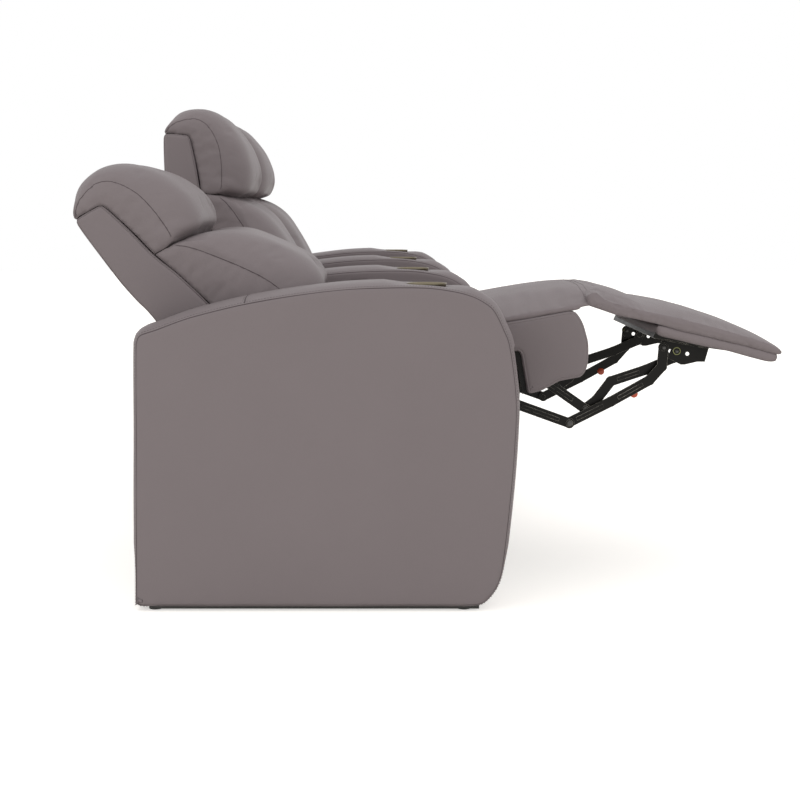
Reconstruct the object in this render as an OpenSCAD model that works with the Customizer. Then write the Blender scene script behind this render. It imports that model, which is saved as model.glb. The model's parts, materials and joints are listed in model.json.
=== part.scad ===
// Row of three home cinema recliner seats that share four arms with cup holders
// X points forward, Y runs along the row, Z is up, millimetres
// The origin is on the floor, in the middle of the row at rest
// The nearest seat (lowest Y) stands reclined, the other two stand closed

/* [Row] */
// Clear width of one seat between two arms
seat_w = 560; // [500:5:640]
// Gap between a seat and the arm beside it
side_gap = 4; // [2:0.5:8]
// How far the arms' rear edges lie behind the row's zero line
arm_rear = 579; // [560:0.5:640]

/* [Arms] */
// Width of one arm
arm_w = 190; // [160:5:220]
// Length of one arm from rear to front
arm_l = 756; // [720:4:800]
// Height of an arm's side above its underside
arm_h = 624; // [600:4:660]
// Height of the feet under the arms
foot_h = 18; // [12:1:26]
// Diameter of a foot
foot_d = 27; // [20:1:34]
// Depth of the rounded shoulder along an arm's outer edges
arm_roll = 9; // [5:1:12]
// Distance of a foot's centre from the arm's end
foot_inset = 30; // [24:1:60]
// Thickness of the dark board under an arm
arm_base_t = 6; // [4:1:10]

/* [Cup holders] */
// Diameter of the cup's bore
cup_bore_d = 76; // [70:1:84]
// Wall of the cup liner
cup_wall = 1.6; // [1.2:0.1:3]
// Depth of the cup inside
cup_depth = 72; // [55:1:90]
// Width of the flat rim around the cup
cup_rim_w = 6; // [4:0.5:10]
// Thickness of the rim
cup_rim_t = 2.5; // [2:0.5:4]
// Distance of the cup's centre behind the arm's front
cup_back = 176; // [150:2:220]

/* [Switches] */
// Length of a switch bezel along X
bezel_l = 64; // [54:1:76]
// Height of a switch bezel
bezel_h = 28; // [24:1:34]
// Thickness of the bezel's flange on the arm
bezel_t = 2; // [1.5:0.5:3]
// Length of the rocker
rocker_l = 38; // [32:1:42]
// Height of the rocker
rocker_h = 15; // [12:1:18]
// Tilt of the rocker each way, in degrees
rocker_tilt = 6; // [3:0.5:8]
// Distance of a switch behind the arm's front
switch_back = 316; // [280:4:340]
// Drop of the switch centre below the arm's top
switch_drop = 48; // [44:1:70]

/* [Motion] */
// Forward travel of the carriage
travel = 226; // [180:2:230]
// Upward tilt of the seat when open, in degrees
seat_tilt = 10; // [6:0.5:11]
// Recline of the back against the seat, in degrees
recline = 24.9; // [18:0.1:26]
// Swing of the footrest against the seat, in degrees
foot_swing = 60.5; // [50:0.5:62]

/* [Base] */
// Height of the ledge that the carriage slides on
ledge_z = 256; // [250:1:262]
// Thickness of the ledge and the base plates
base_t = 6; // [5:0.5:7]
// Width of the sliding ledge
ledge_w = 24; // [20:1:26]
// Side of the square cross tubes
base_tube = 25; // [20:1:28]
// Height of the front cross tube's centre
cross_z = 90; // [80:1:100]

/* [Carriage] */
// Height of the carriage web
web_h = 56; // [50:1:58]
// Thickness of steel plates and links
plate_t = 4; // [3:0.5:4.5]
// Gap between two neighbouring link layers
layer_gap = 3; // [2.5:0.25:3.5]
// Height of a glide block
glide_h = 17; // [14:1:18]
// Radius of the main pivots
pin_r = 8; // [6:0.5:9]
// Radius of the link pivots
link_pin_r = 5; // [4:0.5:6]
// Running clearance of a pin in its hole
pin_fit = 0.05; // [0.02:0.01:0.09]

/* [Seat box] */
// Length of the seat box
box_l = 600; // [590:5:610]
// Height of the side strip behind the front apron
strip_h = 63; // [56:1:68]
// Depth of the front apron
apron_h = 140; // [120:2:150]
// Length of the front apron's side
apron_l = 143; // [130:1:150]
// Thickness of the box sides
box_t = 24; // [20:1:26]
// Height of the box's top above the carriage ledge
box_rise = 231; // [224:1:236]
// Width of a webbing strap
strap_w = 48; // [40:2:54]
// Thickness of a webbing strap
strap_t = 2; // [1.5:0.5:3]

/* [Seat cushion] */
// Height of the seat cushion's crown above the box
seat_crown = 47; // [42:1:54]
// How far the cushion's nose stands ahead of the box
nose = 54; // [50:1:58]

/* [Back] */
// Height of the upholstered back shell
shell_h = 540; // [520:2:560]
// Depth of the shell at its foot
shell_foot_d = 138; // [120:2:142]
// Depth of the headrest cushion, over the shell's top
head_d = 224; // [214:2:236]
// Height of the headrest cushion
head_h = 226; // [216:2:236]
// Depth of the lumbar cushion from its topmost rear point
lumbar_d = 282; // [270:2:292]
// Height of the lumbar cushion
lumbar_h = 350; // [340:2:352]
// How far the lumbar cushion's tail reaches down behind the seat cushion
lumbar_drop = 8; // [2:1:12]

/* [Footrest] */
// Length of the footrest pad
pad_l = 360; // [350:1:372]
// Thickness of the footrest pad at its crown
pad_t = 46; // [42:1:46]
// Thickness of the footrest board
board_t = 8; // [6:1:10]
// Length of the footrest board
board_l = 250; // [240:2:252]

/* [Linkage] */
// Length of the rear lower link
link_a_l = 130; // [126:1:134]
// Length of the short front link
link_b_l = 190; // [186:1:194]
// Length of the long link to the footrest bracket
link_c_l = 257; // [254:1:262]
// Length of the cranked link to the footrest bracket
link_d_l = 230; // [226:1:234]
// Width of a link
link_w = 21; // [18:1:24]
// Length of the front lift link
lift_l = 96; // [88:1:100]

/* [Actuator] */
// Outer diameter of the actuator tube
tube_d = 36; // [32:1:40]
// Diameter of the actuator rod
rod_d = 20; // [16:1:22]
// Diameter of the motor
motor_d = 46; // [40:1:52]
// Length of the motor
motor_l = 92; // [80:1:100]

/* [Hidden] */
$fn = 48;
seats = [1, 2, 3];
arms = [1, 2, 3, 4];
rest_open_shares = [1, 0, 0];
fit = 0.3;
over = 1;
pitch = seat_w + arm_w;
half = seat_w / 2;
body_half = half - side_gap;
arm_x0 = -arm_rear;
arm_front = arm_x0 + arm_l;
arm_z0 = foot_h;
arm_top = arm_z0 + arm_h;

// Side view of an arm, in shares of its length and height, from the rear foot upwards
arm_outline_shares = [
    [0.05, 0.0], [0.022, 0.003], [0.005, 0.016], [0.0, 0.05], [0.0, 0.3], [0.0, 0.6], [0.0, 0.8],
    [0.003, 0.833], [0.014, 0.852],
    [0.055, 0.869], [0.125, 0.9], [0.19, 0.922], [0.286, 0.949], [0.402, 0.973], [0.538, 0.993],
    [0.66, 1.0], [0.763, 0.999], [0.837, 0.987], [0.88, 0.973], [0.912, 0.954], [0.94, 0.926],
    [0.967, 0.862], [0.981, 0.816], [0.993, 0.72], [0.999, 0.62], [0.994, 0.48], [0.983, 0.325],
    [0.965, 0.137], [0.95, 0.068], [0.925, 0.024], [0.9, 0.004], [0.86, 0.0]
];

// Side levels of the mechanism, measured from the middle of a seat
web_y = half - 30 * plate_t / 4;
layer = plate_t + layer_gap;
plate_y = web_y - 2 * layer;
link_a_y = plate_y - layer;
link_c_y = plate_y - 2 * layer;
link_b_y = plate_y - 3 * layer;
link_d_y = plate_y - 4 * layer;

// Heights that stack up from the ledge to the seat
rail_z = ledge_z + fit;
web_z = rail_z + base_t;
box_top = ledge_z + box_rise;
cushion_z = box_top + fit;
crown_z = cushion_z + seat_crown;

// Places along X of a closed seat
box_front = arm_front - 26 * arm_l / 756;
box_rear = box_front - box_l;

// Main pivots of a closed seat, as [x, z]
tilt_pivot = [box_rear + 19 * pin_r / 8, ledge_z + 44 * web_h / 56];
back_pivot = [box_rear - 6.5 * box_l / 600, box_top - 95 * box_rise / 231];
fold_pivot = [box_front + nose + 2 * fit, crown_z - 16 * seat_crown / 47];
a_pivot = [box_front - 181 * box_l / 600, box_top - 173 * box_rise / 231];
b_pivot = [box_front - 162 * box_l / 600, box_top - 82 * box_rise / 231];
lift_pivot = [box_rear + 326 * box_l / 600, web_z + 21 * web_h / 56];

// Bracket pivots of the folded footrest, below and behind its fold
c_ear = fold_pivot + [-nose - 22.4 * pad_t / 46, -161.5 * pad_l / 360];
d_ear = fold_pivot + [-nose - 20.4 * pad_t / 46, -191.4 * pad_l / 360];

function turn(p, a) = [p[0] * cos(a) - p[1] * sin(a), p[0] * sin(a) + p[1] * cos(a)];
function about(p, c, a) = c + turn(p - c, a);
function slope(v) = atan2(v[1], v[0]);
function mix(a, b, k) = a + (b - a) * k;
// Lower crossing of a circle round p and a circle round q
function meet(p, q, a, b) =
    let (d = norm(q - p), k = (a * a - b * b + d * d) / (2 * d), h = sqrt(max(0, a * a - k * k)), u = (q - p) / d)
    p + k * u + h * [u[1], -u[0]];
function spline_point(a, b, c, d, t) =
    0.5 * (2 * b + (c - a) * t + (2 * a - 5 * b + 4 * c - d) * t * t + (3 * b - a - 3 * c + d) * t * t * t);
// Closed smooth curve through the points, each span cut into steps
function smooth(p, steps) = let (n = len(p)) [
    for (i = [0:n - 1])
        for (k = [0:steps - 1])
            spline_point(p[(i + n - 1) % n], p[i], p[(i + 1) % n], p[(i + 2) % n], k / steps)
];

// The same curve from the first point to the last, left open
function smooth_open(p, steps) = let (n = len(p)) [
    for (i = [0:n - 2])
        for (k = [0:steps - 1])
            spline_point(p[max(i - 1, 0)], p[i], p[i + 1], p[min(i + 2, n - 1)], k / steps),
    p[n - 1]
];

// Link angles at the closed and the open end of the travel
function open_ear(ear) = about(ear, fold_pivot, foot_swing);
a_tip = [meet(a_pivot, c_ear, link_a_l, link_c_l), meet(a_pivot, open_ear(c_ear), link_a_l, link_c_l)];
b_tip = [meet(b_pivot, d_ear, link_b_l, link_d_l), meet(b_pivot, open_ear(d_ear), link_b_l, link_d_l)];
a_angle = [slope(a_tip[0] - a_pivot), slope(a_tip[1] - a_pivot)];
b_angle = [slope(b_tip[0] - b_pivot), slope(b_tip[1] - b_pivot)];
c_angle = [slope(c_ear - a_tip[0]), slope(open_ear(c_ear) - a_tip[1])];
d_angle = [slope(d_ear - b_tip[0]), slope(open_ear(d_ear) - b_tip[1])];
lift_angle = [8, 58];

// Cranked links in shares of their length, along and across
link_c_shares = [[0, 0], [0.38, -0.08], [0.74, -0.14], [0.89, -0.115], [1, 0]];
link_d_shares = [[0, 0], [0.13, 0.01], [0.34, 0.085], [0.67, 0.0], [0.94, -0.045], [1, 0]];

// Side profiles of the soft parts in shares of their depth and height
seat_outline_shares = [
    [0.0, 0.0], [0.0, 0.35], [0.02, 0.66], [0.12, 0.82], [0.35, 0.92], [0.6, 1.0], [0.8, 1.0], [0.91, 0.9],
    [0.975, 0.7], [1.0, 0.45], [0.985, 0.29], [0.93, 0.2], [0.9, 0.0]
];
// Headrest from its rear lip over the top and down the front to its foot
head_outline_shares = [
    [0.025, 0.715], [0.0, 0.745], [0.033, 0.8], [0.127, 0.92], [0.23, 0.98], [0.364, 1.0], [0.475, 0.982],
    [0.61, 0.907], [0.739, 0.779], [0.884, 0.588], [0.98, 0.367], [1.0, 0.217], [0.98, 0.093], [0.922, 0.018],
    [0.792, 0.004], [0.614, 0.009], [0.449, 0.0155]
];
// Lumbar cushion from its top over the front and under to its tail
lumbar_outline_shares = [
    [0.08, 1.0], [0.28, 0.998], [0.44, 0.995], [0.545, 0.973], [0.627, 0.916], [0.733, 0.805], [0.815, 0.696],
    [0.907, 0.576], [0.978, 0.453], [1.0, 0.345], [0.978, 0.265], [0.882, 0.233], [0.634, 0.219], [0.449, 0.188],
    [0.357, 0.11], [0.332, 0.025], [0.279, 0.01]
];
pad_outline_shares = [
    [0.06, 0.97], [0.22, 0.995], [0.55, 1.0], [0.84, 0.975], [0.97, 0.9], [1.0, 0.72], [0.98, 0.45], [0.92, 0.2],
    [0.8, 0.07], [0.5, 0.0], [0.05, 0.01], [-0.3, 0.05], [-0.42, 0.12], [-0.36, 0.2], [-0.15, 0.235],
    [0.0, 0.25], [0.01, 0.5], [0.0, 0.8]
];
// Outline of the upholstered back shell in shares of its foot depth and height
shell_outline_shares = [
    [0.2, 0.0], [0.14, 0.03], [0.12, 0.25], [0.09, 0.5], [0.04, 0.8], [-0.03, 0.965], [0.0, 0.99], [0.08, 1.0],
    [0.366, 0.991], [0.453, 0.98], [0.5, 0.943], [0.583, 0.839], [0.67, 0.709], [0.8, 0.598], [0.93, 0.437],
    [1.0, 0.25], [1.01, 0.1], [0.97, 0.0]
];

leather = [0.5, 0.47, 0.48];
leather_dark = [0.44, 0.41, 0.42];
steel = [0.09, 0.09, 0.1];
cup_metal = [0.62, 0.56, 0.45];

function open(i) = rest_open_shares[i - 1];
function seat_y(i) = (i - 2) * pitch;
function arm_y(i) = (i - 2.5) * pitch;

// Placing
module swing(c, a) {
    translate([c[0], 0, c[1]]) rotate([0, -a, 0]) translate([-c[0], 0, -c[1]]) children();
}
module on_row(i) {
    translate([0, seat_y(i), 0]) children();
}
module on_carriage(i) {
    on_row(i) translate([travel * open(i), 0, 0]) children();
}
module on_seat(i) {
    on_carriage(i) swing(tilt_pivot, seat_tilt * open(i)) children();
}
module on_back(i) {
    on_seat(i) swing(back_pivot, recline * open(i)) children();
}
module on_footrest(i) {
    on_seat(i) swing(fold_pivot, foot_swing * open(i)) children();
}
module at(p, a) {
    translate([p[0], 0, p[1]]) rotate([0, -a, 0]) children();
}

// Building
// Round ends stand a little proud of the bar between them
eye_share = 1.06;
// Raises a flat side view, drawn in X and Z, from y0 by t
module wall(y0, t) {
    translate([0, y0 + t, 0]) rotate([90, 0, 0]) linear_extrude(t) children();
}
module both() {
    children();
    mirror([0, 1, 0]) children();
}
module peg(p, r, y0, y1) {
    translate([p[0], y0, p[1]]) rotate([-90, 0, 0]) cylinder(r = r, h = y1 - y0);
}
module eye(p, w) {
    translate(p) circle(d = w * eye_share);
}
module bar(p, q, w) {
    translate(p) rotate(slope(q - p)) translate([0, -w / 2]) square([norm(q - p), w]);
}
module strip(p, q, w) {
    eye(p, w);
    eye(q, w);
    bar(p, q, w);
}
module chain(points, w) {
    for (p = points) eye(p, w);
    for (k = [1:len(points) - 1]) bar(points[k - 1], points[k], w);
}
module hole(p, r) {
    translate(p) circle(r = r + pin_fit);
}
module block(x0, x1, y0, y1, z0, z1) {
    translate([x0, y0, z0]) cube([x1 - x0, y1 - y0, z1 - z0]);
}

// Upholstered form: a side profile that keeps its size across the middle and
// draws in towards the core as it nears its two ends, closed by a fan round the hub.
// The inner points lie along what the form is fixed to, and stay where they are.
cushion_steps_shares = [-1, -0.96, -0.86, -0.68, -0.38, 0, 0.38, 0.68, 0.86, 0.96, 1];
function drawn_share(k, count) = min(1, k / 8, (count - 1 - k) / 8);
module cushion(front, inner, core, hub, half_w, draw) {
    count = len(front);
    n = count + len(inner);
    m = len(cushion_steps_shares);
    points = [
        for (s = cushion_steps_shares)
            let (g = pow(abs(s), 5))
            each concat([
                for (k = [0:count - 1])
                    let (p = front[k], w = g * (n > count ? drawn_share(k, count) : 1))
                    [mix(p[0], core[0], draw[0] * w), s * half_w, mix(p[1], core[1], draw[1] * w)]
            ], [for (p = inner) [p[0], s * half_w, p[1]]]),
        for (s = [-1, 1]) [mix(hub[0], core[0], draw[0]), s * half_w, mix(hub[1], core[1], draw[1])]
    ];
    sides = [
        for (j = [0:m - 2])
            for (k = [0:n - 1])
                let (a = j * n + k, b = j * n + (k + 1) % n, c = a + n, d = b + n)
                each [[a, d, b], [a, c, d]]
    ];
    ends = [
        for (k = [0:n - 1])
            let (b = (k + 1) % n, last = (m - 1) * n)
            each [[m * n, k, b], [m * n + 1, last + b, last + k]]
    ];
    polyhedron(points = points, faces = concat(sides, ends), convexity = 4);
}

// Arms
function arm_point(s, inset) = [
    arm_x0 + inset + s[0] * (arm_l - 2 * inset),
    arm_z0 + s[1] * (arm_h - inset)
];
module arm_side(inset) {
    polygon(smooth_open([for (s = arm_outline_shares) arm_point(s, inset)], 2));
}
function cup_place() = [arm_front - cup_back, arm_top];
module arm(i) {
    roll = arm_roll * 0.5;
    color(leather) translate([0, arm_y(i), 0]) difference() {
        union() {
            wall(-arm_w / 2 + arm_roll, arm_w - 2 * arm_roll) arm_side(0);
            both() wall(arm_w / 2 - arm_roll, arm_roll / 2) arm_side(roll * 0.4);
            both() wall(arm_w / 2 - arm_roll / 2, arm_roll / 2) arm_side(roll);
        }
        translate([cup_place()[0], 0, arm_top - cup_depth - cup_wall - fit])
            cylinder(d = cup_bore_d + 2 * cup_wall + 2 * fit, h = cup_depth + cup_wall + fit + over);
        if (i > 1) switch_pocket();
    }
}

// Cup holders
module cup_holders() {
    rim_z = arm_top + 2 * fit;
    for (i = arms) color(cup_metal) translate([cup_place()[0], arm_y(i), 0]) difference() {
        union() {
            translate([0, 0, arm_top - cup_depth - cup_wall])
                cylinder(d = cup_bore_d + 2 * cup_wall, h = cup_depth + cup_wall + cup_rim_t);
            translate([0, 0, rim_z]) cylinder(d = cup_bore_d + 2 * cup_rim_w, h = cup_rim_t - 2 * fit);
        }
        translate([0, 0, arm_top - cup_depth]) cylinder(d = cup_bore_d, h = cup_depth + cup_rim_t + over);
    }
}

// Feet, and the dark board that they are screwed to
module arm_feet() {
    board = [arm_x0 + 0.03 * arm_l, arm_front - 0.12 * arm_l];
    top = foot_h - 2 * fit;
    for (i = arms) color(steel) translate([0, arm_y(i), 0]) {
        block(board[0], board[1], -arm_w / 2 + arm_roll, arm_w / 2 - arm_roll, top - arm_base_t, top);
        for (x = [board[0] + foot_inset / 2, board[1] - foot_inset / 2])
            for (s = [-1, 1])
                translate([x, s * (arm_w / 2 - foot_inset), 0]) {
                    cylinder(d = foot_d, h = foot_h * 0.5);
                    cylinder(d = foot_d * 0.7, h = top);
                }
    }
}

// Switches, set in the arm on each seat's left side
function switch_place() = [arm_front - switch_back, arm_top - switch_drop];
pocket_d = 3 * bezel_h / 4;
module switch_pocket() {
    c = switch_place();
    block(c[0] - rocker_l / 2 - 4 * bezel_t, c[0] + rocker_l / 2 + 4 * bezel_t, -arm_w / 2 - over,
        -arm_w / 2 + pocket_d, c[1] - rocker_h / 2 - 2 * bezel_t, c[1] + rocker_h / 2 + 2 * bezel_t);
}
module bezel_plate(grow) {
    w = bezel_l - bezel_h;
    c = switch_place();
    strip([c[0] - w / 2, c[1]], [c[0] + w / 2, c[1]], bezel_h + grow);
}
module switch_bezels() {
    c = switch_place();
    cup = bezel_t * 0.75;
    for (i = seats) color(steel) translate([0, seat_y(i) + half, 0]) difference() {
        union() {
            wall(-bezel_t, bezel_t) bezel_plate(0);
            block(c[0] - rocker_l / 2 - cup - fit, c[0] + rocker_l / 2 + cup + fit, 0,
                pocket_d - bezel_t, c[1] - rocker_h / 2 - cup - fit, c[1] + rocker_h / 2 + cup + fit);
        }
        block(c[0] - rocker_l / 2 - fit, c[0] + rocker_l / 2 + fit, -bezel_t - over,
            pocket_d - 2 * bezel_t, c[1] - rocker_h / 2 - fit, c[1] + rocker_h / 2 + fit);
        for (s = [-1, 1])
            peg([c[0] + s * (bezel_l - bezel_h) / 2 + s * bezel_h * 0.14, c[1]], bezel_h / 12, -bezel_t - over,
                -bezel_t / 2);
    }
}
rocker_y = pocket_d * 0.4;
module switch_rocker(i) {
    c = switch_place();
    r = rocker_l * 0.62;
    color([0.16, 0.16, 0.17]) translate([0, seat_y(i) + half, 0]) intersection() {
        block(c[0] - rocker_l / 2 + fit, c[0] + rocker_l / 2 - fit, -bezel_t * 2, rocker_y,
            c[1] - rocker_h / 2 + fit, c[1] + rocker_h / 2 - fit);
        translate([c[0], rocker_y, c[1] - rocker_h]) difference() {
            cylinder(r = rocker_l / 2 - 2 * fit, h = 2 * rocker_h);
            translate([0, -r - rocker_y * 0.9, -over]) cylinder(r = r, h = 2 * rocker_h + 2 * over);
        }
    }
}

// Base frames, bolted to the arms beside each seat
base_x0 = arm_x0 + 50 * arm_l / 756;
base_x1 = arm_front - 40 * arm_l / 756;
tube_x = [base_x0 + base_tube, tilt_pivot[0] + 371 * arm_l / 756];
module base_frame(i) {
    outer = half;
    color(steel) on_row(i) {
        both() {
            wall(outer - base_t, base_t) difference() {
                union() {
                    translate([base_x0, ledge_z - 2.4 * base_tube]) square([base_x1 - base_x0, 2.4 * base_tube]);
                    for (x = tube_x)
                        translate([x - base_tube, cross_z - base_tube])
                            square([2 * base_tube, ledge_z - cross_z]);
                }
                for (b = bolt_places()) hole(b, bolt_r);
            }
            block(base_x0, base_x1, outer - base_t - ledge_w, outer - base_t, ledge_z - base_t, ledge_z);
        }
        block(tube_x[0] - base_tube / 2, tube_x[0] + base_tube / 2, -outer + base_t, outer - base_t,
            actuator_z - base_tube / 2, actuator_z + base_tube / 2);
        block(tube_x[1] - base_tube / 2, tube_x[1] + base_tube / 2, -outer + base_t, outer - base_t,
            cross_z - base_tube / 2, cross_z + base_tube / 2);
        both() block(tube_x[0] + base_tube / 2, tube_x[0] + base_tube * 1.8, rod_d / 2 + fit,
            rod_d / 2 + fit + base_t, actuator_z - base_tube / 2, actuator_z + base_tube / 2);
    }
}
bolt_r = 5 * base_t / 6;
function bolt_places() = [
    for (x = [base_x0 + 2 * base_tube, tube_x[1] - 0.6 * base_tube, tube_x[1] + 0.6 * base_tube, base_x1 - 2 * base_tube])
        [x, ledge_z - 1.6 * base_tube]
];
module frame_bolts() {
    for (i = seats) color([0.5, 0.5, 0.52]) on_row(i) both() for (b = bolt_places()) {
        peg(b, bolt_r, half - base_t, half - fit);
        peg(b, bolt_r * 1.7, half - base_t - bolt_r, half - base_t);
    }
}
module power_inlets() {
    for (i = seats) color([0.12, 0.12, 0.13]) on_row(i) difference() {
        block(tube_x[0] - base_tube / 2 - base_tube, tube_x[0] - base_tube / 2, 3 * base_tube, 4 * base_tube,
            actuator_z - base_tube * 0.4, actuator_z + base_tube * 0.4);
        translate([tube_x[0] - base_tube * 1.5 - over, 3.5 * base_tube, actuator_z]) rotate([0, 90, 0])
            cylinder(r = base_tube * 0.22, h = base_tube * 0.7);
    }
}

// Linear actuator under the seat
actuator_z = tilt_pivot[1] - 16 * web_h / 56;
rod_x1 = lift_pivot[0] - 40 * arm_l / 756;
rod_r = rod_d / 2;
actuator_x0 = tube_x[0] + base_tube * 0.8;
tube_x1 = rod_x1 - rod_d;
rod_x0 = actuator_x0 + base_tube + 1.3 * base_t;
module actuator(i) {
    color([0.14, 0.14, 0.15]) on_row(i) {
        difference() {
            union() {
                translate([actuator_x0 + motor_d * 0.9, 0, actuator_z]) rotate([0, 90, 0])
                    cylinder(d = tube_d, h = tube_x1 - actuator_x0 - motor_d * 0.9);
                block(actuator_x0 + base_tube, actuator_x0 + motor_d * 1.5, -tube_d * 0.6, tube_d * 0.6,
                    actuator_z - tube_d * 0.6, actuator_z + tube_d * 0.6);
                block(actuator_x0, actuator_x0 + base_tube, -rod_r, rod_r, actuator_z - rod_r, actuator_z + rod_r);
                translate([actuator_x0 + motor_d, 0, actuator_z - motor_l]) cylinder(d = motor_d, h = motor_l);
            }
            translate([actuator_x0 + base_tube + base_t, 0, actuator_z]) rotate([0, 90, 0])
                cylinder(r = rod_r + pin_fit, h = tube_x1 - actuator_x0);
        }
    }
}

// Sliding carriage with its glides, cross tube and actuator rod
glide_l = 44 * web_h / 56;
web_x0 = tilt_pivot[0] - 3 * pin_r;
web_x1 = lift_pivot[0] + 3 * pin_r;
module carriage(i) {
    glide_x = [web_x0, web_x1 - glide_l];
    color(steel) on_carriage(i) {
        both() {
            wall(web_y, plate_t) difference() {
                translate([web_x0, web_z]) square([web_x1 - web_x0, web_h]);
                hole(lift_pivot, 0);
                for (k = [1:3])
                    translate([mix(web_x0, web_x1, k / 4), web_z + web_h / 2]) circle(d = web_h * 0.45);
            }
            for (x = glide_x)
                block(x, x + glide_l, web_y, half - base_t - fit, rail_z, rail_z + glide_h);
            peg(tilt_pivot, pin_r, plate_y - plate_t / 2, web_y);
            peg(tilt_pivot, pin_r * 1.5, web_y - layer_gap - fit, web_y);
            peg(lift_pivot, link_pin_r * 1.2, web_y - layer - plate_t / 4, web_y);
        }
        peg([rod_x1, actuator_z], rod_r, -web_y, web_y);
        translate([rod_x0, 0, actuator_z]) rotate([0, 90, 0]) cylinder(r = rod_r, h = rod_x1 - rod_x0);
    }
}

// Front lift link between the carriage and the seat
lift_y = web_y - layer;
module lift_link(i) {
    a = mix(lift_angle[0], lift_angle[1], open(i));
    tip = [lift_l, 0];
    color(steel) on_carriage(i) at(lift_pivot, a) both() {
        wall(lift_y, plate_t) difference() {
            strip([0, 0], tip, link_w * 1.2);
            hole([0, 0], link_pin_r * 1.2);
            hole(tip / 2, link_w * 0.2);
        }
        peg(tip, link_pin_r, lift_y - layer_gap + fit, lift_y);
    }
}

// Steel side plates of the seat
plate_line_z = box_top - 45 * box_rise / 231;
strut_w = 0.72 * link_w;
strut_x1 = box_front - apron_l - fit;
strut_foot = [strut_x1 - strut_w / 2, box_top - strip_h - link_w];
module plate_view() {
    rear = [box_rear + 80 * box_l / 600, plate_line_z];
    front = [box_front - 75 * box_l / 600, plate_line_z];
    difference() {
        union() {
            strip(rear, front, 2 * link_w);
            eye(back_pivot, 1.9 * link_w);
            bar(back_pivot, rear, 1.9 * link_w);
            eye(tilt_pivot, 1.9 * link_w);
            bar(tilt_pivot, rear, 1.8 * link_w);
            eye(a_pivot, 1.5 * link_w);
            bar(a_pivot, b_pivot, 1.5 * link_w);
            eye(b_pivot, 2 * link_w);
            bar(b_pivot, [b_pivot[0] - link_w, plate_line_z], 1.9 * link_w);
            bar(b_pivot, [b_pivot[0] + 2 * link_w, plate_line_z], 1.6 * link_w);
            bar(b_pivot, strut_foot, 1.5 * link_w);
            eye(strut_foot, 0.9 * link_w);
        }
        hole(tilt_pivot, pin_r);
        for (x = [0.3, 0.42, 0.54, 0.66]) hole([mix(rear[0], front[0], x), plate_line_z], link_w * 0.45);
    }
}
module side_plates(i) {
    y1 = plate_y + plate_t;
    tube_r = link_w * 0.42;
    bar_y0 = body_half - box_t;
    cross = [[box_rear + 110 * box_l / 600, plate_line_z], [box_front - 200 * box_l / 600, plate_line_z]];
    color(steel) on_seat(i) {
        both() {
            wall(plate_y, plate_t) plate_view();
            for (x = [box_rear + 60 * box_l / 600, box_front - 100 * box_l / 600])
                peg([x, plate_line_z], link_pin_r * 1.6, y1, bar_y0);
            peg(back_pivot, pin_r, y1, web_y + plate_t);
            peg(a_pivot, link_pin_r * 1.2, link_a_y - plate_t / 4, plate_y);
            peg(b_pivot, link_pin_r * 1.2, link_b_y - plate_t / 4, plate_y);
            wall(bar_y0 + fit, box_t / 3)
                translate([strut_x1 - strut_w, box_top - apron_h - strut_w])
                    square([strut_w, apron_h + strut_w - strip_h - fit]);
            peg(strut_foot, link_pin_r, y1, bar_y0 + fit);
        }
        for (c = cross) peg(c, tube_r, -plate_y, plate_y);
    }
}

// Upholstered seat box with its webbing
module box_view() {
    z_low = box_top - apron_h;
    z_strip = box_top - strip_h;
    x_step = box_front - apron_l;
    r = apron_h * 0.2;
    polygon([
        [box_rear, box_top], [box_rear, z_strip], [x_step, z_strip], [x_step, z_low - r * 0.6],
        [x_step + r * 0.5, z_low - r * 0.65], [x_step + apron_l * 0.5, z_low], [box_front - r, z_low + r * 0.1],
        for (k = [0:6]) [box_front - r + r * sin(15 * k), z_low + r * 1.1 - r * cos(15 * k)],
        [box_front, box_top - r],
        for (k = [1:6]) [box_front - r + r * cos(15 * k), box_top - r + r * sin(15 * k)]
    ]);
}
module seat_box(i) {
    inner = body_half - box_t;
    front_t = 22 * box_t / 24;
    rail_z0 = box_top - strap_t;
    count = 5;
    color(leather) on_seat(i) {
        both() wall(inner, box_t) box_view();
        block(box_front - front_t * 1.6, box_front - front_t * 0.5, -inner, inner, box_top - apron_h * 0.62,
            rail_z0 - front_t * 0.4);
        block(box_rear, box_rear + front_t, -inner, inner, plate_line_z + link_w + fit, rail_z0);
        for (k = [1:count])
            block(box_rear, box_front - front_t, mix(-inner, inner, (k - 0.5) / count) - strap_w / 2,
                mix(-inner, inner, (k - 0.5) / count) + strap_w / 2, rail_z0, box_top);
        block(box_front - front_t * 1.6, box_front - front_t * 0.5, -inner, inner, rail_z0 - front_t * 0.4, rail_z0);
    }
}

// Soft parts
function placed(shares, x0, z0, d, h) = [for (s = shares) [x0 + s[0] * d, z0 + s[1] * h]];
module seat_cushion(i) {
    outline = smooth_open(placed(seat_outline_shares, box_rear + 10 * fit, cushion_z, box_l + nose - 10 * fit,
        seat_crown), 2);
    core = [mix(box_rear, box_front, 0.45), cushion_z];
    color(leather) on_seat(i) cushion(outline, [], core, core + [0, seat_crown * 0.4], body_half, [0.03, 0.7]);
}
shell_x0 = back_pivot[0] - 38.5 * box_l / 600 - shell_foot_d;
shell_z0 = back_pivot[1] + 55 * box_rise / 231;
shell_curve = smooth(placed(shell_outline_shares, shell_x0, shell_z0, shell_foot_d, shell_h), 2);
module back_shell(i) {
    ear_y = plate_y + layer;
    ear = [shell_x0 + 0.76 * shell_foot_d, shell_z0 + 3 * link_w];
    color(leather_dark) on_back(i) {
        wall(-body_half, 2 * body_half) polygon(shell_curve);
        both() wall(ear_y, plate_t) difference() {
            strip(back_pivot, ear, 1.9 * link_w);
            hole(back_pivot, pin_r);
        }
    }
}
soft_gap = 2 * fit;
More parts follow.
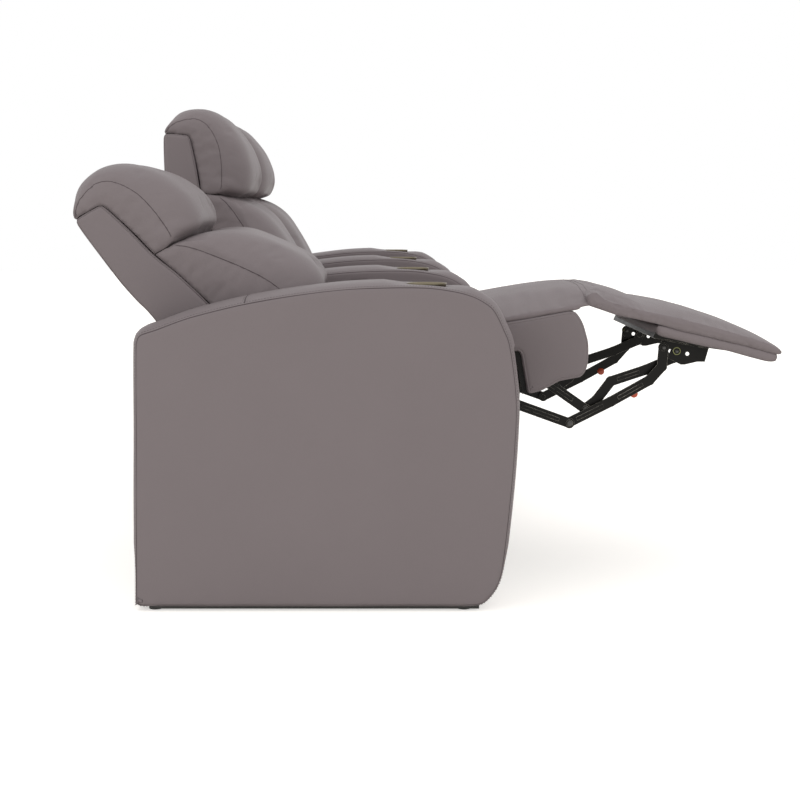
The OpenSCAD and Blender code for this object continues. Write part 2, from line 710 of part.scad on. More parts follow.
module headrest(i) {
    x0 = shell_x0 - 2 * head_d / 224;
    z0 = shell_z0 + shell_h - 159 * head_h / 226;
    front = smooth_open(placed(head_outline_shares, x0, z0, head_d, head_h), 2);
    inner = [for (k = [24:-1:14]) shell_curve[k] + [soft_gap, soft_gap]];
    core = [x0 + 0.38 * head_d, z0 + 0.5 * head_h];
    hub = [x0 + 0.5 * head_d, z0 + 0.8 * head_h];
    color(leather) on_back(i) cushion(front, inner, core, hub, body_half, [0.3, 0.2]);
}
module lumbar_cushion(i) {
    x0 = shell_x0 + shell_foot_d * 0.52;
    z0 = cushion_z - lumbar_drop;
    front = smooth_open(placed(lumbar_outline_shares, x0, z0, lumbar_d, lumbar_h), 2);
    inner = [for (k = [31:-1:25]) shell_curve[k] + [soft_gap, 0]];
    core = [x0 + 0.2 * lumbar_d, z0 + 0.6 * lumbar_h];
    hub = [x0 + 0.4 * lumbar_d, z0 + 0.45 * lumbar_h];
    color(leather) on_back(i) cushion(front, inner, core, hub, body_half, [0.3, 0.1]);
}

// Links
module link_bar(points, y0, r0, r1) {
    last = len(points) - 1;
    wall(y0, plate_t) difference() {
        chain(points, link_w);
        hole(points[0], r0);
        if (r1 > 0) hole(points[last], r1);
    }
    wall(y0 + plate_t / 2, 0.8 * plate_t) for (k = [1:last])
        if (norm(points[k] - points[k - 1]) > 3 * link_w)
            bar(mix(points[k - 1], points[k], 0.18), mix(points[k - 1], points[k], 0.82), 0.34 * link_w);
}
module link_a(i) {
    a = mix(a_angle[0], a_angle[1], open(i));
    tip = [link_a_l, 0];
    color(steel) on_seat(i) at(a_pivot, a) both() {
        link_bar([[0, 0], tip], link_a_y, link_pin_r * 1.2, 0);
        peg(tip, link_pin_r, link_c_y - plate_t / 4, link_a_y);
        peg(tip, link_pin_r * 1.5, link_a_y + plate_t, link_a_y + plate_t * 1.5);
    }
}
module link_b(i) {
    a = mix(b_angle[0], b_angle[1], open(i));
    tip = [link_b_l, 0];
    color(steel) on_seat(i) at(b_pivot, a) both() {
        link_bar([[0, 0], tip], link_b_y, link_pin_r * 1.2, 0);
        peg(tip, link_pin_r, link_d_y - plate_t / 4, link_b_y);
        peg(tip, link_pin_r * 1.5, link_b_y + plate_t, link_b_y + plate_t * 1.5);
    }
}
module link_c(i) {
    place = open(i) > 0 ? a_tip[1] : a_tip[0];
    a = mix(c_angle[0], c_angle[1], open(i));
    color(steel) on_seat(i) at(place, a) both() {
        link_bar(link_c_shares * link_c_l, link_c_y, link_pin_r, 0);
        peg([link_c_l, 0], link_pin_r * 1.5, link_c_y + plate_t, link_c_y + plate_t * 1.5);
    }
}
module link_d(i) {
    place = open(i) > 0 ? b_tip[1] : b_tip[0];
    a = mix(d_angle[0], d_angle[1], open(i));
    color(steel) on_seat(i) at(place, a) both() {
        link_bar(link_d_shares * link_d_l, link_d_y, link_pin_r, 0);
        peg([link_d_l, 0], link_pin_r * 1.5, link_d_y - plate_t / 2, link_d_y);
    }
}

// Footrest
board_x = fold_pivot[0] - pad_t - fit;
board_z1 = fold_pivot[1] - 40 * pad_l / 360;
module footrest_board(i) {
    back_x = board_x - board_t;
    color(steel) on_footrest(i) {
        block(back_x, board_x, -body_half + box_t / 2, body_half - box_t / 2, board_z1 - board_l, board_z1);
        both() {
            wall(link_b_y, plate_t) {
                strip(c_ear, d_ear, 1.1 * link_w);
                translate([c_ear[0], d_ear[1] - link_w * 0.55])
                    square([back_x - c_ear[0], c_ear[1] - d_ear[1] + link_w * 1.1]);
                polygon([[back_x, d_ear[1] - 2.1 * link_w], [back_x, d_ear[1] + 2.9 * link_w],
                    [back_x - link_w, d_ear[1] + 2.6 * link_w], [c_ear[0] - 0.3 * link_w, c_ear[1]],
                    [d_ear[0] - 0.3 * link_w, d_ear[1]], [back_x - link_w, d_ear[1] - 1.8 * link_w]]);
            }
            block(back_x - plate_t / 2, back_x, link_b_y - link_w * 0.6, link_b_y + link_w * 0.6,
                d_ear[1] - 2.1 * link_w, d_ear[1] + 2.9 * link_w);
            peg(d_ear, link_pin_r, link_d_y + plate_t + fit, link_b_y);
            peg(c_ear, link_pin_r, link_b_y + plate_t, link_c_y - fit);
        }
    }
}
module footrest_pad(i) {
    z1 = fold_pivot[1] - 24 * pad_l / 360;
    outline = placed(pad_outline_shares, board_x + fit, z1 - pad_l, pad_t, pad_l);
    core = [board_x + 0.3 * pad_t, z1 - 0.45 * pad_l];
    hub = [board_x + 0.5 * pad_t, z1 - 0.88 * pad_l];
    color(leather) on_footrest(i) cushion(outline, [], core, hub, body_half, [0.55, 0.02]);
}

for (i = arms) arm(i);
cup_holders();
arm_feet();
switch_bezels();
frame_bolts();
power_inlets();
for (i = seats) {
    base_frame(i);
    actuator(i);
    switch_rocker(i);
    carriage(i);
    lift_link(i);
    side_plates(i);
    seat_box(i);
    seat_cushion(i);
    back_shell(i);
    headrest(i);
    lumbar_cushion(i);
    link_a(i);
    link_b(i);
    link_c(i);
    link_d(i);
    footrest_board(i);
    footrest_pad(i);
}
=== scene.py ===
import json
import math
import bpy
import bmesh
import numpy as np
from mathutils import Matrix, Vector, kdtree, noise
from mathutils.geometry import delaunay_2d_cdt


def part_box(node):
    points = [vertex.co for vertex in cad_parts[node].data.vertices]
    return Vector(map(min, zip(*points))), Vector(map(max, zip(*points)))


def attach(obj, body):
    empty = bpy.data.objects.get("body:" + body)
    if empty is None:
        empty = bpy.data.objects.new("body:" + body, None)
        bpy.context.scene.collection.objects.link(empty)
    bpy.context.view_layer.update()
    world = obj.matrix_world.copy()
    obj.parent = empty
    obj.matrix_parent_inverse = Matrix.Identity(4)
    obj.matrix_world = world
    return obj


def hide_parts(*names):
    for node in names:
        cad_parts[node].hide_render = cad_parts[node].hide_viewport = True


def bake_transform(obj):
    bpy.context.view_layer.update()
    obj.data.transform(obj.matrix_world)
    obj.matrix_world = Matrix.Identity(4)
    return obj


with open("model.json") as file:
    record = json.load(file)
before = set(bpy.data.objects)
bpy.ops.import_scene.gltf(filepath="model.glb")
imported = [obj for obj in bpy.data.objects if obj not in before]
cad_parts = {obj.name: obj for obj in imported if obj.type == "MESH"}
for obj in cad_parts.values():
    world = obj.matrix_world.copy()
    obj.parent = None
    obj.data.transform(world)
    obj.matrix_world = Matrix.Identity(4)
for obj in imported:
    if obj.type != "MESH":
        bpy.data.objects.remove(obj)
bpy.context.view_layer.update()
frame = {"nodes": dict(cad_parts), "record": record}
scene = bpy.context.scene
record = frame["record"]
seats = (1, 2, 3)
armNumbers = (1, 2, 3, 4)
joints = {j["name"]: j for j in record["behaviour"]["joints"]}
ratios = {c["joint"]: c["ratio"] for c in record["behaviour"]["couplings"]}


# Camera and light

photo = {
    "place": (-0.149, -4.29, 0.8057),
    "focal": 1563.2,  # in pixels of an 800 pixel frame
    "side": 800,
    "pitch": 1.0,
    "shift": (0.0588, -0.2119),
}


def makeCamera():
    data = bpy.data.cameras.new("photoCamera")
    camera = bpy.data.objects.new("photoCamera", data)
    scene.collection.objects.link(camera)
    camera.location = photo["place"]
    camera.rotation_euler = (math.pi / 2 - math.radians(photo["pitch"]), 0, 0)
    data.lens = photo["focal"] / photo["side"] * data.sensor_width
    data.shift_x, data.shift_y = photo["shift"]
    scene.camera = camera


def backdropRays(tree):
    # 1 for the rays that see the background as it is: the camera's, and those in metal and glass
    paths = tree.nodes.new("ShaderNodeLightPath")
    seen = paths.outputs["Is Camera Ray"]
    for ray in ("Is Glossy Ray", "Is Transmission Ray"):
        either = tree.nodes.new("ShaderNodeMath")
        either.operation = "MAXIMUM"
        tree.links.new(seen, either.inputs[0])
        tree.links.new(paths.outputs[ray], either.inputs[1])
        seen = either.outputs[0]
    return seen


lampSet = {
    "world": 0.95,
    "top": {"place": (-1.6, -1.2, 4.2), "aim": (0, 0, 0.3), "size": 3.5, "power": 6},
    "front": {"place": (3.6, -3.4, 2.2), "aim": (0, -0.4, 0.5), "size": 3.0, "power": 12},
    "side": {"place": (-3.2, -5.2, 1.2), "aim": (0, -0.8, 0.5), "size": 3.0, "power": 22},
}


def feed(tree, node, values):
    # An input takes either a plain value or a link from another node's socket
    for key, value in values.items():
        if isinstance(value, bpy.types.NodeSocket):
            tree.links.new(value, node.inputs[key])
        else:
            node.inputs[key].default_value = value


def addNode(tree, kind, values=None, **settings):
    node = tree.nodes.new(kind)
    for key, value in settings.items():
        setattr(node, key, value)
    feed(tree, node, values or {})
    return node


def mathOf(tree, operation, *values):
    return addNode(tree, "ShaderNodeMath", dict(enumerate(values)), operation=operation).outputs[0]


def rescaled(tree, value, start, end):
    ends = {"Value": value, "From Min": start[0], "From Max": start[1], "To Min": end[0], "To Max": end[1]}
    return addNode(tree, "ShaderNodeMapRange", ends).outputs["Result"]


def mixed(tree, share, first, second):
    return addNode(tree, "ShaderNodeMix", {0: share, 6: first, 7: second}, data_type="RGBA").outputs[2]


def noiseOf(tree, place, **values):
    return addNode(tree, "ShaderNodeTexNoise", {"Vector": place, **values}).outputs["Fac"]


def bumpOf(tree, strength, distance, height, **more):
    values = {"Strength": strength, "Distance": distance, "Height": height, **more}
    return addNode(tree, "ShaderNodeBump", values).outputs["Normal"]


def objectPlace(tree):
    return addNode(tree, "ShaderNodeTexCoord").outputs["Object"]


def backdropRays(tree):
    # 1 for the rays that see the background as it is: the camera's, and those in metal and glass
    paths = addNode(tree, "ShaderNodeLightPath").outputs
    either = mathOf(tree, "MAXIMUM", paths["Is Camera Ray"], paths["Is Glossy Ray"])
    return mathOf(tree, "MAXIMUM", either, paths["Is Transmission Ray"])


def makeLights():
    world = bpy.data.worlds.new("studio")
    scene.world = world
    world.use_nodes = True
    tree = world.node_tree
    level = rescaled(tree, backdropRays(tree), (0, 1), (lampSet["world"], 1))
    feed(tree, tree.nodes["Background"], {"Color": (1, 1, 1, 1), "Strength": level})
    for name in ("top", "front", "side"):
        lamp = lampSet[name]
        data = bpy.data.lights.new(name + "Lamp", "AREA")
        data.size = lamp["size"]
        data.energy = lamp["power"]
        light = bpy.data.objects.new(name + "Lamp", data)
        scene.collection.objects.link(light)
        light.location = lamp["place"]
        aim = Vector(lamp["aim"]) - light.location
        light.rotation_euler = aim.to_track_quat("-Z", "Y").to_euler()
    scene.view_settings.view_transform = "Standard"


# Materials

def material(name, values=None):
    mat = bpy.data.materials.new(name)
    mat.use_nodes = True
    shader = mat.node_tree.nodes["Principled BSDF"]
    feed(mat.node_tree, shader, values or {})
    return mat, mat.node_tree, shader


def newGroup(name, inputs, outputs, kind="ShaderNodeTree"):
    group = bpy.data.node_groups.new(name, kind)
    for title, socket, value in inputs:
        made = group.interface.new_socket(title, in_out="INPUT", socket_type=socket)
        if value is not None:
            made.default_value = value
    for title, socket in outputs:
        group.interface.new_socket(title, in_out="OUTPUT", socket_type=socket)
    return group, group.nodes.new("NodeGroupInput").outputs, group.nodes.new("NodeGroupOutput")


def makeLeatherGroup():
    inputs = [
        ("Color", "NodeSocketColor", (0.2, 0.2, 0.2, 1)),
        ("Grain Scale", "NodeSocketFloat", 620.0),
        ("Mottle", "NodeSocketFloat", 0.05),
        ("Roughness", "NodeSocketFloat", 0.5),
        ("Wear", "NodeSocketFloat", 0.2),
    ]
    outputs = [("Color", "NodeSocketColor"), ("Roughness", "NodeSocketFloat"), ("Height", "NodeSocketFloat")]
    group, source, out = newGroup("leatherGrain", inputs, outputs)
    place = objectPlace(group)
    cells = {"Vector": place, "Scale": source["Grain Scale"]}
    crack = addNode(group, "ShaderNodeTexVoronoi", cells, feature="DISTANCE_TO_EDGE").outputs["Distance"]
    fine = noiseOf(group, place, Scale=1500.0, Detail=3.0)
    broad = noiseOf(group, place, Scale=7.0, Detail=4.0, Roughness=0.55)
    stretch = noiseOf(group, place, Scale=38.0, Detail=5.0, Distortion=0.6)
    # Height: rounded pebbles, fine pores and long soft creases
    pebbles = rescaled(group, crack, (0.0, 0.35), (0.0, 0.6))
    pores = mathOf(group, "MULTIPLY_ADD", fine, 0.25, pebbles)
    folds = mathOf(group, "MULTIPLY_ADD", stretch, 0.5, pores)
    # Colour: broad mottling, darker in the grain's valleys
    swing = mathOf(group, "SUBTRACT", broad, 0.5)
    mottle = mathOf(group, "MULTIPLY", swing, source["Mottle"])
    valleys = rescaled(group, crack, (0.0, 0.12), (-0.06, 0.0))
    gain = mathOf(group, "ADD", mathOf(group, "ADD", mottle, valleys), 1.0)
    shade = addNode(group, "ShaderNodeVectorMath", {0: source["Color"], "Scale": gain}, operation="SCALE")
    # Roughness: rubbed patches shine a little more
    rough = mathOf(group, "SUBTRACT", source["Roughness"], mathOf(group, "MULTIPLY", swing, source["Wear"]))
    feed(group, out, {"Height": folds, "Color": shade.outputs[0], "Roughness": rough})
    return group


def makeWornAndHighlitSteelGroup():
    inputs = [
        ("Paint", "NodeSocketColor", (0.02, 0.02, 0.02, 1)),
        ("Bare", "NodeSocketColor", (0.5, 0.5, 0.5, 1)),
        ("Edge Width", "NodeSocketFloat", 0.0012),
        ("Edge Amount", "NodeSocketFloat", 0.6),
        ("Roughness", "NodeSocketFloat", 0.35),
        ("Dust", "NodeSocketFloat", 0.1),
    ]
    outputs = [
        ("Color", "NodeSocketColor"), ("Roughness", "NodeSocketFloat"),
        ("Metallic", "NodeSocketFloat"), ("Height", "NodeSocketFloat"), ("Normal", "NodeSocketVector"),
    ]
    group, source, out = newGroup("wornSteel", inputs, outputs)
    place = objectPlace(group)
    smear = noiseOf(group, place, Scale=60.0, Detail=6.0, Roughness=0.6)
    spray = noiseOf(group, place, Scale=900.0, Detail=2.0)
    broad = noiseOf(group, place, Scale=9.0, Detail=3.0)
    # Edge mask: where the rounded normal leaves the flat one, broken up by the smears. The bare metal colour put
    # there is partly edge wear and partly a painted highlight along the edges
    soft = addNode(group, "ShaderNodeBevel", {"Radius": source["Edge Width"]}, samples=6).outputs["Normal"]
    flat = addNode(group, "ShaderNodeNewGeometry").outputs["Normal"]
    turn = addNode(group, "ShaderNodeVectorMath", {0: soft, 1: flat}, operation="DOT_PRODUCT").outputs["Value"]
    edge = rescaled(group, turn, (0.995, 0.9), (0.0, 1.0))
    wearAndHighlight = mathOf(group, "MULTIPLY", edge, rescaled(group, smear, (0.35, 0.62), (0.0, 1.0)))
    edgeWearAndHighlightMask = mathOf(group, "MULTIPLY", wearAndHighlight, source["Edge Amount"])
    color = mixed(group, edgeWearAndHighlightMask, source["Paint"], source["Bare"])
    dust = mathOf(group, "MULTIPLY", broad, source["Dust"])
    feed(group, out, {
        "Color": mixed(group, dust, color, (0.16, 0.145, 0.12, 1)),
        "Metallic": edgeWearAndHighlightMask,
        "Roughness": mathOf(group, "MULTIPLY_ADD", smear, 0.25, source["Roughness"]),
        "Height": spray,
        "Normal": soft,
    })
    return group


# One leather in three tones: the arms' and back shells' a little darker than the cushions', and the seat box
# panels' darker still, as painted shade on their mostly upright sides
leatherLook = {
    "arm": {"color": (0.212, 0.181, 0.185), "roughness": 0.52, "mottle": 0.05, "bump": 0.00010},
    "cushion": {"color": (0.219, 0.187, 0.191), "roughness": 0.5, "mottle": 0.07, "bump": 0.00012},
    "panel": {"color": (0.208, 0.178, 0.182), "roughness": 0.54, "mottle": 0.05, "bump": 0.00010},
    # The seam cords' leather is much darker than the rest: painted shade of the seam grooves, which show as thin
    # dark lines
    "seam": {"color": (0.1, 0.081, 0.084), "roughness": 0.75, "mottle": 0.05, "bump": 0.00005},
    "thread": {"color": (0.15, 0.127, 0.13), "roughness": 0.65, "mottle": 0.05, "bump": 0.00005},
}


def makeLeather(kind, group):
    look = leatherLook[kind]
    mat, tree, shader = material(kind + "Leather", {
        "Specular IOR Level": 0.14, "Sheen Weight": 0.015, "Sheen Roughness": 0.5,
    })
    grain = addNode(tree, "ShaderNodeGroup", node_tree=group)
    feed(tree, grain, {"Color": (*look["color"], 1), "Mottle": look["mottle"], "Roughness": look["roughness"]})
    grain = grain.outputs
    feed(tree, shader, {"Base Color": grain["Color"], "Roughness": grain["Roughness"],
                        "Normal": bumpOf(tree, 1.0, look["bump"], grain["Height"])})
    return mat


steelLook = {
    # name: paint, bare metal at the edges (also the painted edge highlight), edge wear with painted highlight,
    # roughness, dust
    # The links' strong bare edges are mostly a painted highlight along their folded edges
    "linkSteel": ((0.006, 0.0055, 0.0045), (0.5, 0.47, 0.41), 0.9, 0.24, 0.02),
    "frameSteel": ((0.02, 0.02, 0.021), (0.4, 0.4, 0.4), 0.35, 0.36, 0.1),
    "zinc": ((0.42, 0.41, 0.39), (0.6, 0.6, 0.6), 0.3, 0.3, 0.05),
    "pinSteel": ((0.06, 0.058, 0.055), (0.6, 0.58, 0.55), 0.6, 0.22, 0.03),
    "blackPlastic": ((0.012, 0.012, 0.013), (0.03, 0.03, 0.03), 0.3, 0.42, 0.05),
    "footPlastic": ((0.014, 0.014, 0.014), (0.03, 0.03, 0.03), 0.2, 0.55, 0.12),
}


def makeSteel(name, group):
    paint, bareAndHighlight, edge, rough, dust = steelLook[name]
    mat, tree, shader = material(name)
    wearAndHighlight = addNode(tree, "ShaderNodeGroup", node_tree=group)
    feed(tree, wearAndHighlight, {"Paint": (*paint, 1), "Bare": (*bareAndHighlight, 1), "Edge Amount": edge, "Roughness": rough,
                      "Dust": dust})
    wearAndHighlight = wearAndHighlight.outputs
    feed(tree, shader, {"Base Color": wearAndHighlight["Color"], "Roughness": wearAndHighlight["Roughness"], "Metallic": wearAndHighlight["Metallic"],
                        "Normal": bumpOf(tree, 0.6, 0.00006, wearAndHighlight["Height"], Normal=wearAndHighlight["Normal"])})
    if name == "linkSteel":
        shader.inputs["Specular IOR Level"].default_value = 0.16
    return mat


def makeCupMetal():
    # Brushed liner with a warm tint
    mat, tree, shader = material("cupMetal", {"Metallic": 1.0})
    stretch = addNode(tree, "ShaderNodeMapping", {"Vector": objectPlace(tree), "Scale": (14.0, 14.0, 900.0)})
    brush = noiseOf(tree, stretch.outputs["Vector"], Scale=3.0, Detail=5.0)
    feed(tree, shader, {
        "Base Color": mixed(tree, brush, (0.17, 0.145, 0.1, 1), (0.27, 0.235, 0.165, 1)),
        "Roughness": rescaled(tree, brush, (0.0, 1.0), (0.3, 0.5)),
        "Normal": bumpOf(tree, 0.4, 0.00008, brush),
    })
    return mat


def makeTinted(name, color, roughness):
    mat, tree, shader = material(name, {"Roughness": roughness})
    speck = noiseOf(tree, objectPlace(tree), Scale=400.0, Detail=3.0)
    feed(tree, shader, {"Base Color": mixed(tree, speck, (*[c * 0.7 for c in color], 1), (*color, 1))})
    return mat


def makeFloorMaterial():
    mat, tree, shader = material("paleFloor", {
        "Base Color": (0.86, 0.84, 0.8, 1), "Roughness": 1.0, "Specular IOR Level": 0.0,
        "Emission Color": (1, 0.984, 0.966, 1),
    })
    feed(tree, shader, {"Emission Strength": mathOf(tree, "MULTIPLY", backdropRays(tree), 0.525)})
    return mat


# Meshes

def toObject(name, mesh, mat, smooth=True):
    mesh.materials.clear()
    mesh.materials.append(mat)
    piece = bpy.data.objects.new(name, mesh)
    scene.collection.objects.link(piece)
    mesh.polygons.foreach_set("use_smooth", [smooth] * len(mesh.polygons))
    return piece


def meshFrom(name, verts, faces):
    mesh = bpy.data.meshes.new(name)
    mesh.from_pydata([tuple(v) for v in verts], [], faces)
    mesh.validate()
    bm = bmesh.new()
    bm.from_mesh(mesh)
    bmesh.ops.remove_doubles(bm, verts=bm.verts, dist=1e-5)
    bmesh.ops.recalc_face_normals(bm, faces=bm.faces)
    bm.to_mesh(mesh)
    bm.free()
    return mesh


def smoothLine(points, step, closed=False):
    # Catmull-Rom curve through the points, then cut into even steps
    p = [Vector(q) for q in points]
    count = len(p)
    spans = count if closed else count - 1
    dense = []
    for i in range(spans):
        if closed:
            a, b, c, d = p[i - 1], p[i], p[(i + 1) % count], p[(i + 2) % count]
        else:
            a, b, c, d = p[max(i - 1, 0)], p[i], p[i + 1], p[min(i + 2, count - 1)]
        for k in range(16):
            t = k / 16
            dense.append(0.5 * (2 * b + (c - a) * t + (2 * a - 5 * b + 4 * c - d) * t * t
                                + (3 * b - a - 3 * c + d) * t * t * t))
    dense.append(p[0] if closed else p[-1])
    return evenLine(dense, step)


def evenLine(points, step):
    p = np.array([tuple(q) for q in points], float)
    legs = np.linalg.norm(np.diff(p, axis=0), axis=1)
    along = np.concatenate([[0], np.cumsum(legs)])
    count = max(2, int(round(along[-1] / step)))
    marks = np.linspace(0, along[-1], count + 1)
    return np.stack([np.interp(marks, along, p[:, k]) for k in range(p.shape[1])], axis=1)


# Where each body of a seat lies: seat 2 closed, moved along the row and, for seat 1, opened

def turnAbout(point, angle):
    spot = Matrix.Translation(Vector(point))
    return spot @ Matrix.Rotation(-angle, 4, "Y") @ spot.inverted()


def jointPlace(name):
    p = joints[name]["pos_m"]
    return Vector((p[0], 0, p[2]))


def seatPlaces():
    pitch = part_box("arm_3")[0][1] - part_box("arm_2")[0][1]
    travel = joints["seat_slide_2"]["range_m"][1]
    slid = Matrix.Translation((travel, 0, 0))
    tilted = slid @ turnAbout(jointPlace("seat_tilt_2"), ratios["seat_tilt_2"] * travel)
    leaned = tilted @ turnAbout(jointPlace("back_recline_2"), ratios["back_recline_2"] * travel)
    swung = tilted @ turnAbout(jointPlace("footrest_swing_2"), ratios["footrest_swing_2"] * travel)
    opened = {"seat": tilted, "back": leaned, "foot": swung}
    places = {}
    for i in seats:
        along = Matrix.Translation((0, (i - 2) * pitch, 0))
        for body, matrix in opened.items():
            places[body, i] = along @ (matrix if i == 1 else Matrix.Identity(4))
    return places


places = seatPlaces()


def handOver(piece, body, nodes=()):
    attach(piece, body)
    if nodes:
        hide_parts(*nodes)


def putOnSeats(piece, body, nodes=()):
    # One copy of a finished closed-seat piece for each seat, in its place and on its body
    for i in seats:
        mesh = piece.data.copy()
        mesh.transform(places[body, i])
        copy = bpy.data.objects.new(f"{piece.name}_{i}", mesh)
        scene.collection.objects.link(copy)
        handOver(copy, f"{body}_{i}", [f"{n}_{i}" for n in nodes])
    bpy.data.objects.remove(piece)


def inflate(piece, pinned, pressure, cap, frames=18, shrink=-0.01):
    # Swells the leather like a filled cover, held at its seams, and keeps every point near its start
    rest = np.empty(len(piece.data.vertices) * 3)
    piece.data.vertices.foreach_get("co", rest)
    rest = rest.reshape(-1, 3)
    group = piece.vertex_groups.new(name="held")
    group.add([int(k) for k in np.nonzero(pinned)[0]], 1.0, "REPLACE")
    cloth = piece.modifiers.new("filled", "CLOTH")
    cloth.settings.quality = 5
    cloth.settings.mass = 0.4
    cloth.settings.tension_stiffness = 20
    cloth.settings.compression_stiffness = 12
    cloth.settings.shear_stiffness = 8
    cloth.settings.bending_stiffness = 0.6
    cloth.settings.use_pressure = True
    cloth.settings.uniform_pressure_force = pressure
    cloth.settings.shrink_min = shrink
    cloth.settings.vertex_group_mass = "held"
    cloth.settings.effector_weights.gravity = 0
    cloth.collision_settings.use_collision = False
    cloth.point_cache.frame_start, cloth.point_cache.frame_end = 1, frames
    for f in range(1, frames + 1):
        scene.frame_set(f)
    graph = bpy.context.evaluated_depsgraph_get()
    moved = np.empty_like(rest.reshape(-1))
    piece.evaluated_get(graph).data.vertices.foreach_get("co", moved)
    moved = moved.reshape(-1, 3)
    piece.modifiers.clear()
    piece.vertex_groups.clear()
    scene.frame_set(1)
    step = moved - rest
    far = np.linalg.norm(step, axis=1)
    keep = np.where(far > 1e-9, cap * np.tanh(far / cap) / np.maximum(far, 1e-9), 1)
    piece.data.vertices.foreach_set("co", (rest + step * keep[:, None]).reshape(-1))
    piece.data.update()
    print(f"  {piece.name}: swelled up to {far.max() * 1000:.0f} mm, kept to {cap * 1000:.0f} mm")


def coordinates(mesh):
    co = np.empty(len(mesh.vertices) * 3)
    mesh.vertices.foreach_get("co", co)
    return co.reshape(-1, 3)


def normals(mesh):
    out = np.empty(len(mesh.vertices) * 3)
    mesh.vertices.foreach_get("normal", out)
    return out.reshape(-1, 3)


def setCoordinates(mesh, co):
    mesh.vertices.foreach_set("co", co.reshape(-1))
    mesh.update()


def nearest(points, line):
    # Distance from each point to a polyline given by close points, and how far along it the foot lies
    line = np.asarray(line)
    legs = np.concatenate([[0], np.cumsum(np.linalg.norm(np.diff(line, axis=0), axis=1))])
    best = np.full(len(points), 1e9)
    along = np.zeros(len(points))
    for start in range(0, len(points), 4000):
        block = points[start:start + 4000]
        far = np.linalg.norm(block[:, None, :] - line[None, :, :], axis=2)
        pick = far.argmin(axis=1)
        best[start:start + 4000] = far[np.arange(len(block)), pick]
        along[start:start + 4000] = legs[pick]
    return best, along


def pinch(mesh, line, depth=0.0025, width=0.005, gathers=0.0, reach=0.03, pace=0.02, seed=0):
    # Draws the surface in along a seam, with small gathers that fade away from it
    co, nor = coordinates(mesh), normals(mesh)
    low, high = np.min(line, axis=0) - 0.06, np.max(line, axis=0) + 0.06
    close = np.all((co > low) & (co < high), axis=1)
    index = np.nonzero(close)[0]
    if not len(index):
        return
    far, along = nearest(co[index], line)
    push = -depth * np.exp(-((far / width) ** 2))
    if gathers:
        wave = np.array([noise.noise(Vector((a / pace, seed * 3.7, 0.4))) for a in along])
        push += gathers * wave * np.exp(-far / reach) * (1 - np.exp(-far / 0.004))
    co[index] += nor[index] * push[:, None]
    setCoordinates(mesh, co)


def settle(mesh, lines, lift):
    # Lines laid on the nearest points of a surface
    tree = kdtree.KDTree(len(mesh.vertices))
    for v in mesh.vertices:
        tree.insert(v.co, v.index)
    tree.balance()
    out = []
    for line in lines:
        laid = []
        for p in line:
            near = tree.find_n(Vector(p), 4)
            away = sum(1 / (d + 1e-5) for _, _, d in near)
            normal = sum((mesh.vertices[k].normal / (d + 1e-5) for _, k, d in near), Vector()) / away
            foot = sum((co / (d + 1e-5) for co, _, d in near), Vector()) / away
            p = Vector(p)
            laid.append(p + normal.normalized() * ((foot - p).dot(normal.normalized()) + lift))
        out.append(laid)
    return out


def soften(mesh, size=0.09, amount=0.0012, seed=0.0):
    # Slow uneven swell of stuffed leather
    co, nor = coordinates(mesh), normals(mesh)
    lift = np.array([noise.noise(Vector(p) / size + Vector((seed, seed, 0))) for p in co])
    setCoordinates(mesh, co + nor * (lift * amount)[:, None])


# Upholstered forms: a closed side outline carried along Y, with a flat or pillowed panel at each end

def normalsOf(ring):
    # Outward normals of a closed outline that runs either way round
    step = np.roll(ring, -1, axis=0) - np.roll(ring, 1, axis=0)
    out = np.stack([step[:, 1], -step[:, 0]], axis=1)
    out /= np.maximum(np.linalg.norm(out, axis=1)[:, None], 1e-9)
    area = np.sum(ring[:, 0] * np.roll(ring[:, 1], -1) - np.roll(ring[:, 0], -1) * ring[:, 1])
    return out if area > 0 else -out


def fillPanel(ring, spacing):
    # Triangles over a closed outline with an even field of points inside it
    n = len(ring)
    low, high = ring.min(axis=0), ring.max(axis=0)
    rowGap = spacing * 0.866
    field = []
    for j in range(int((high[1] - low[1]) / rowGap) + 1):
        for i in range(int((high[0] - low[0]) / spacing) + 1):
            field.append((low[0] + (i + 0.5 * (j % 2)) * spacing, low[1] + (j + 0.5) * rowGap))
    field = np.array(field)
    gap = np.full(len(field), 1e9)
    for start in range(0, len(field), 3000):
        block = field[start:start + 3000]
        gap[start:start + 3000] = np.linalg.norm(block[:, None, :] - ring[None], axis=2).min(axis=1)
    field = field[gap > spacing * 0.6]
    points = [Vector(p) for p in np.concatenate([ring, field])]
    edges = [(k, (k + 1) % n) for k in range(n)]
    flat, _, faces, _, _, _ = delaunay_2d_cdt(points, edges, [], 1, 1e-7)
    flat = np.array([tuple(p) for p in flat])
    gap = np.zeros(len(flat))
    for start in range(0, len(flat), 3000):
        block = flat[start:start + 3000]
        gap[start:start + 3000] = np.linalg.norm(block[:, None, :] - ring[None], axis=2).min(axis=1)
    return flat, faces, gap


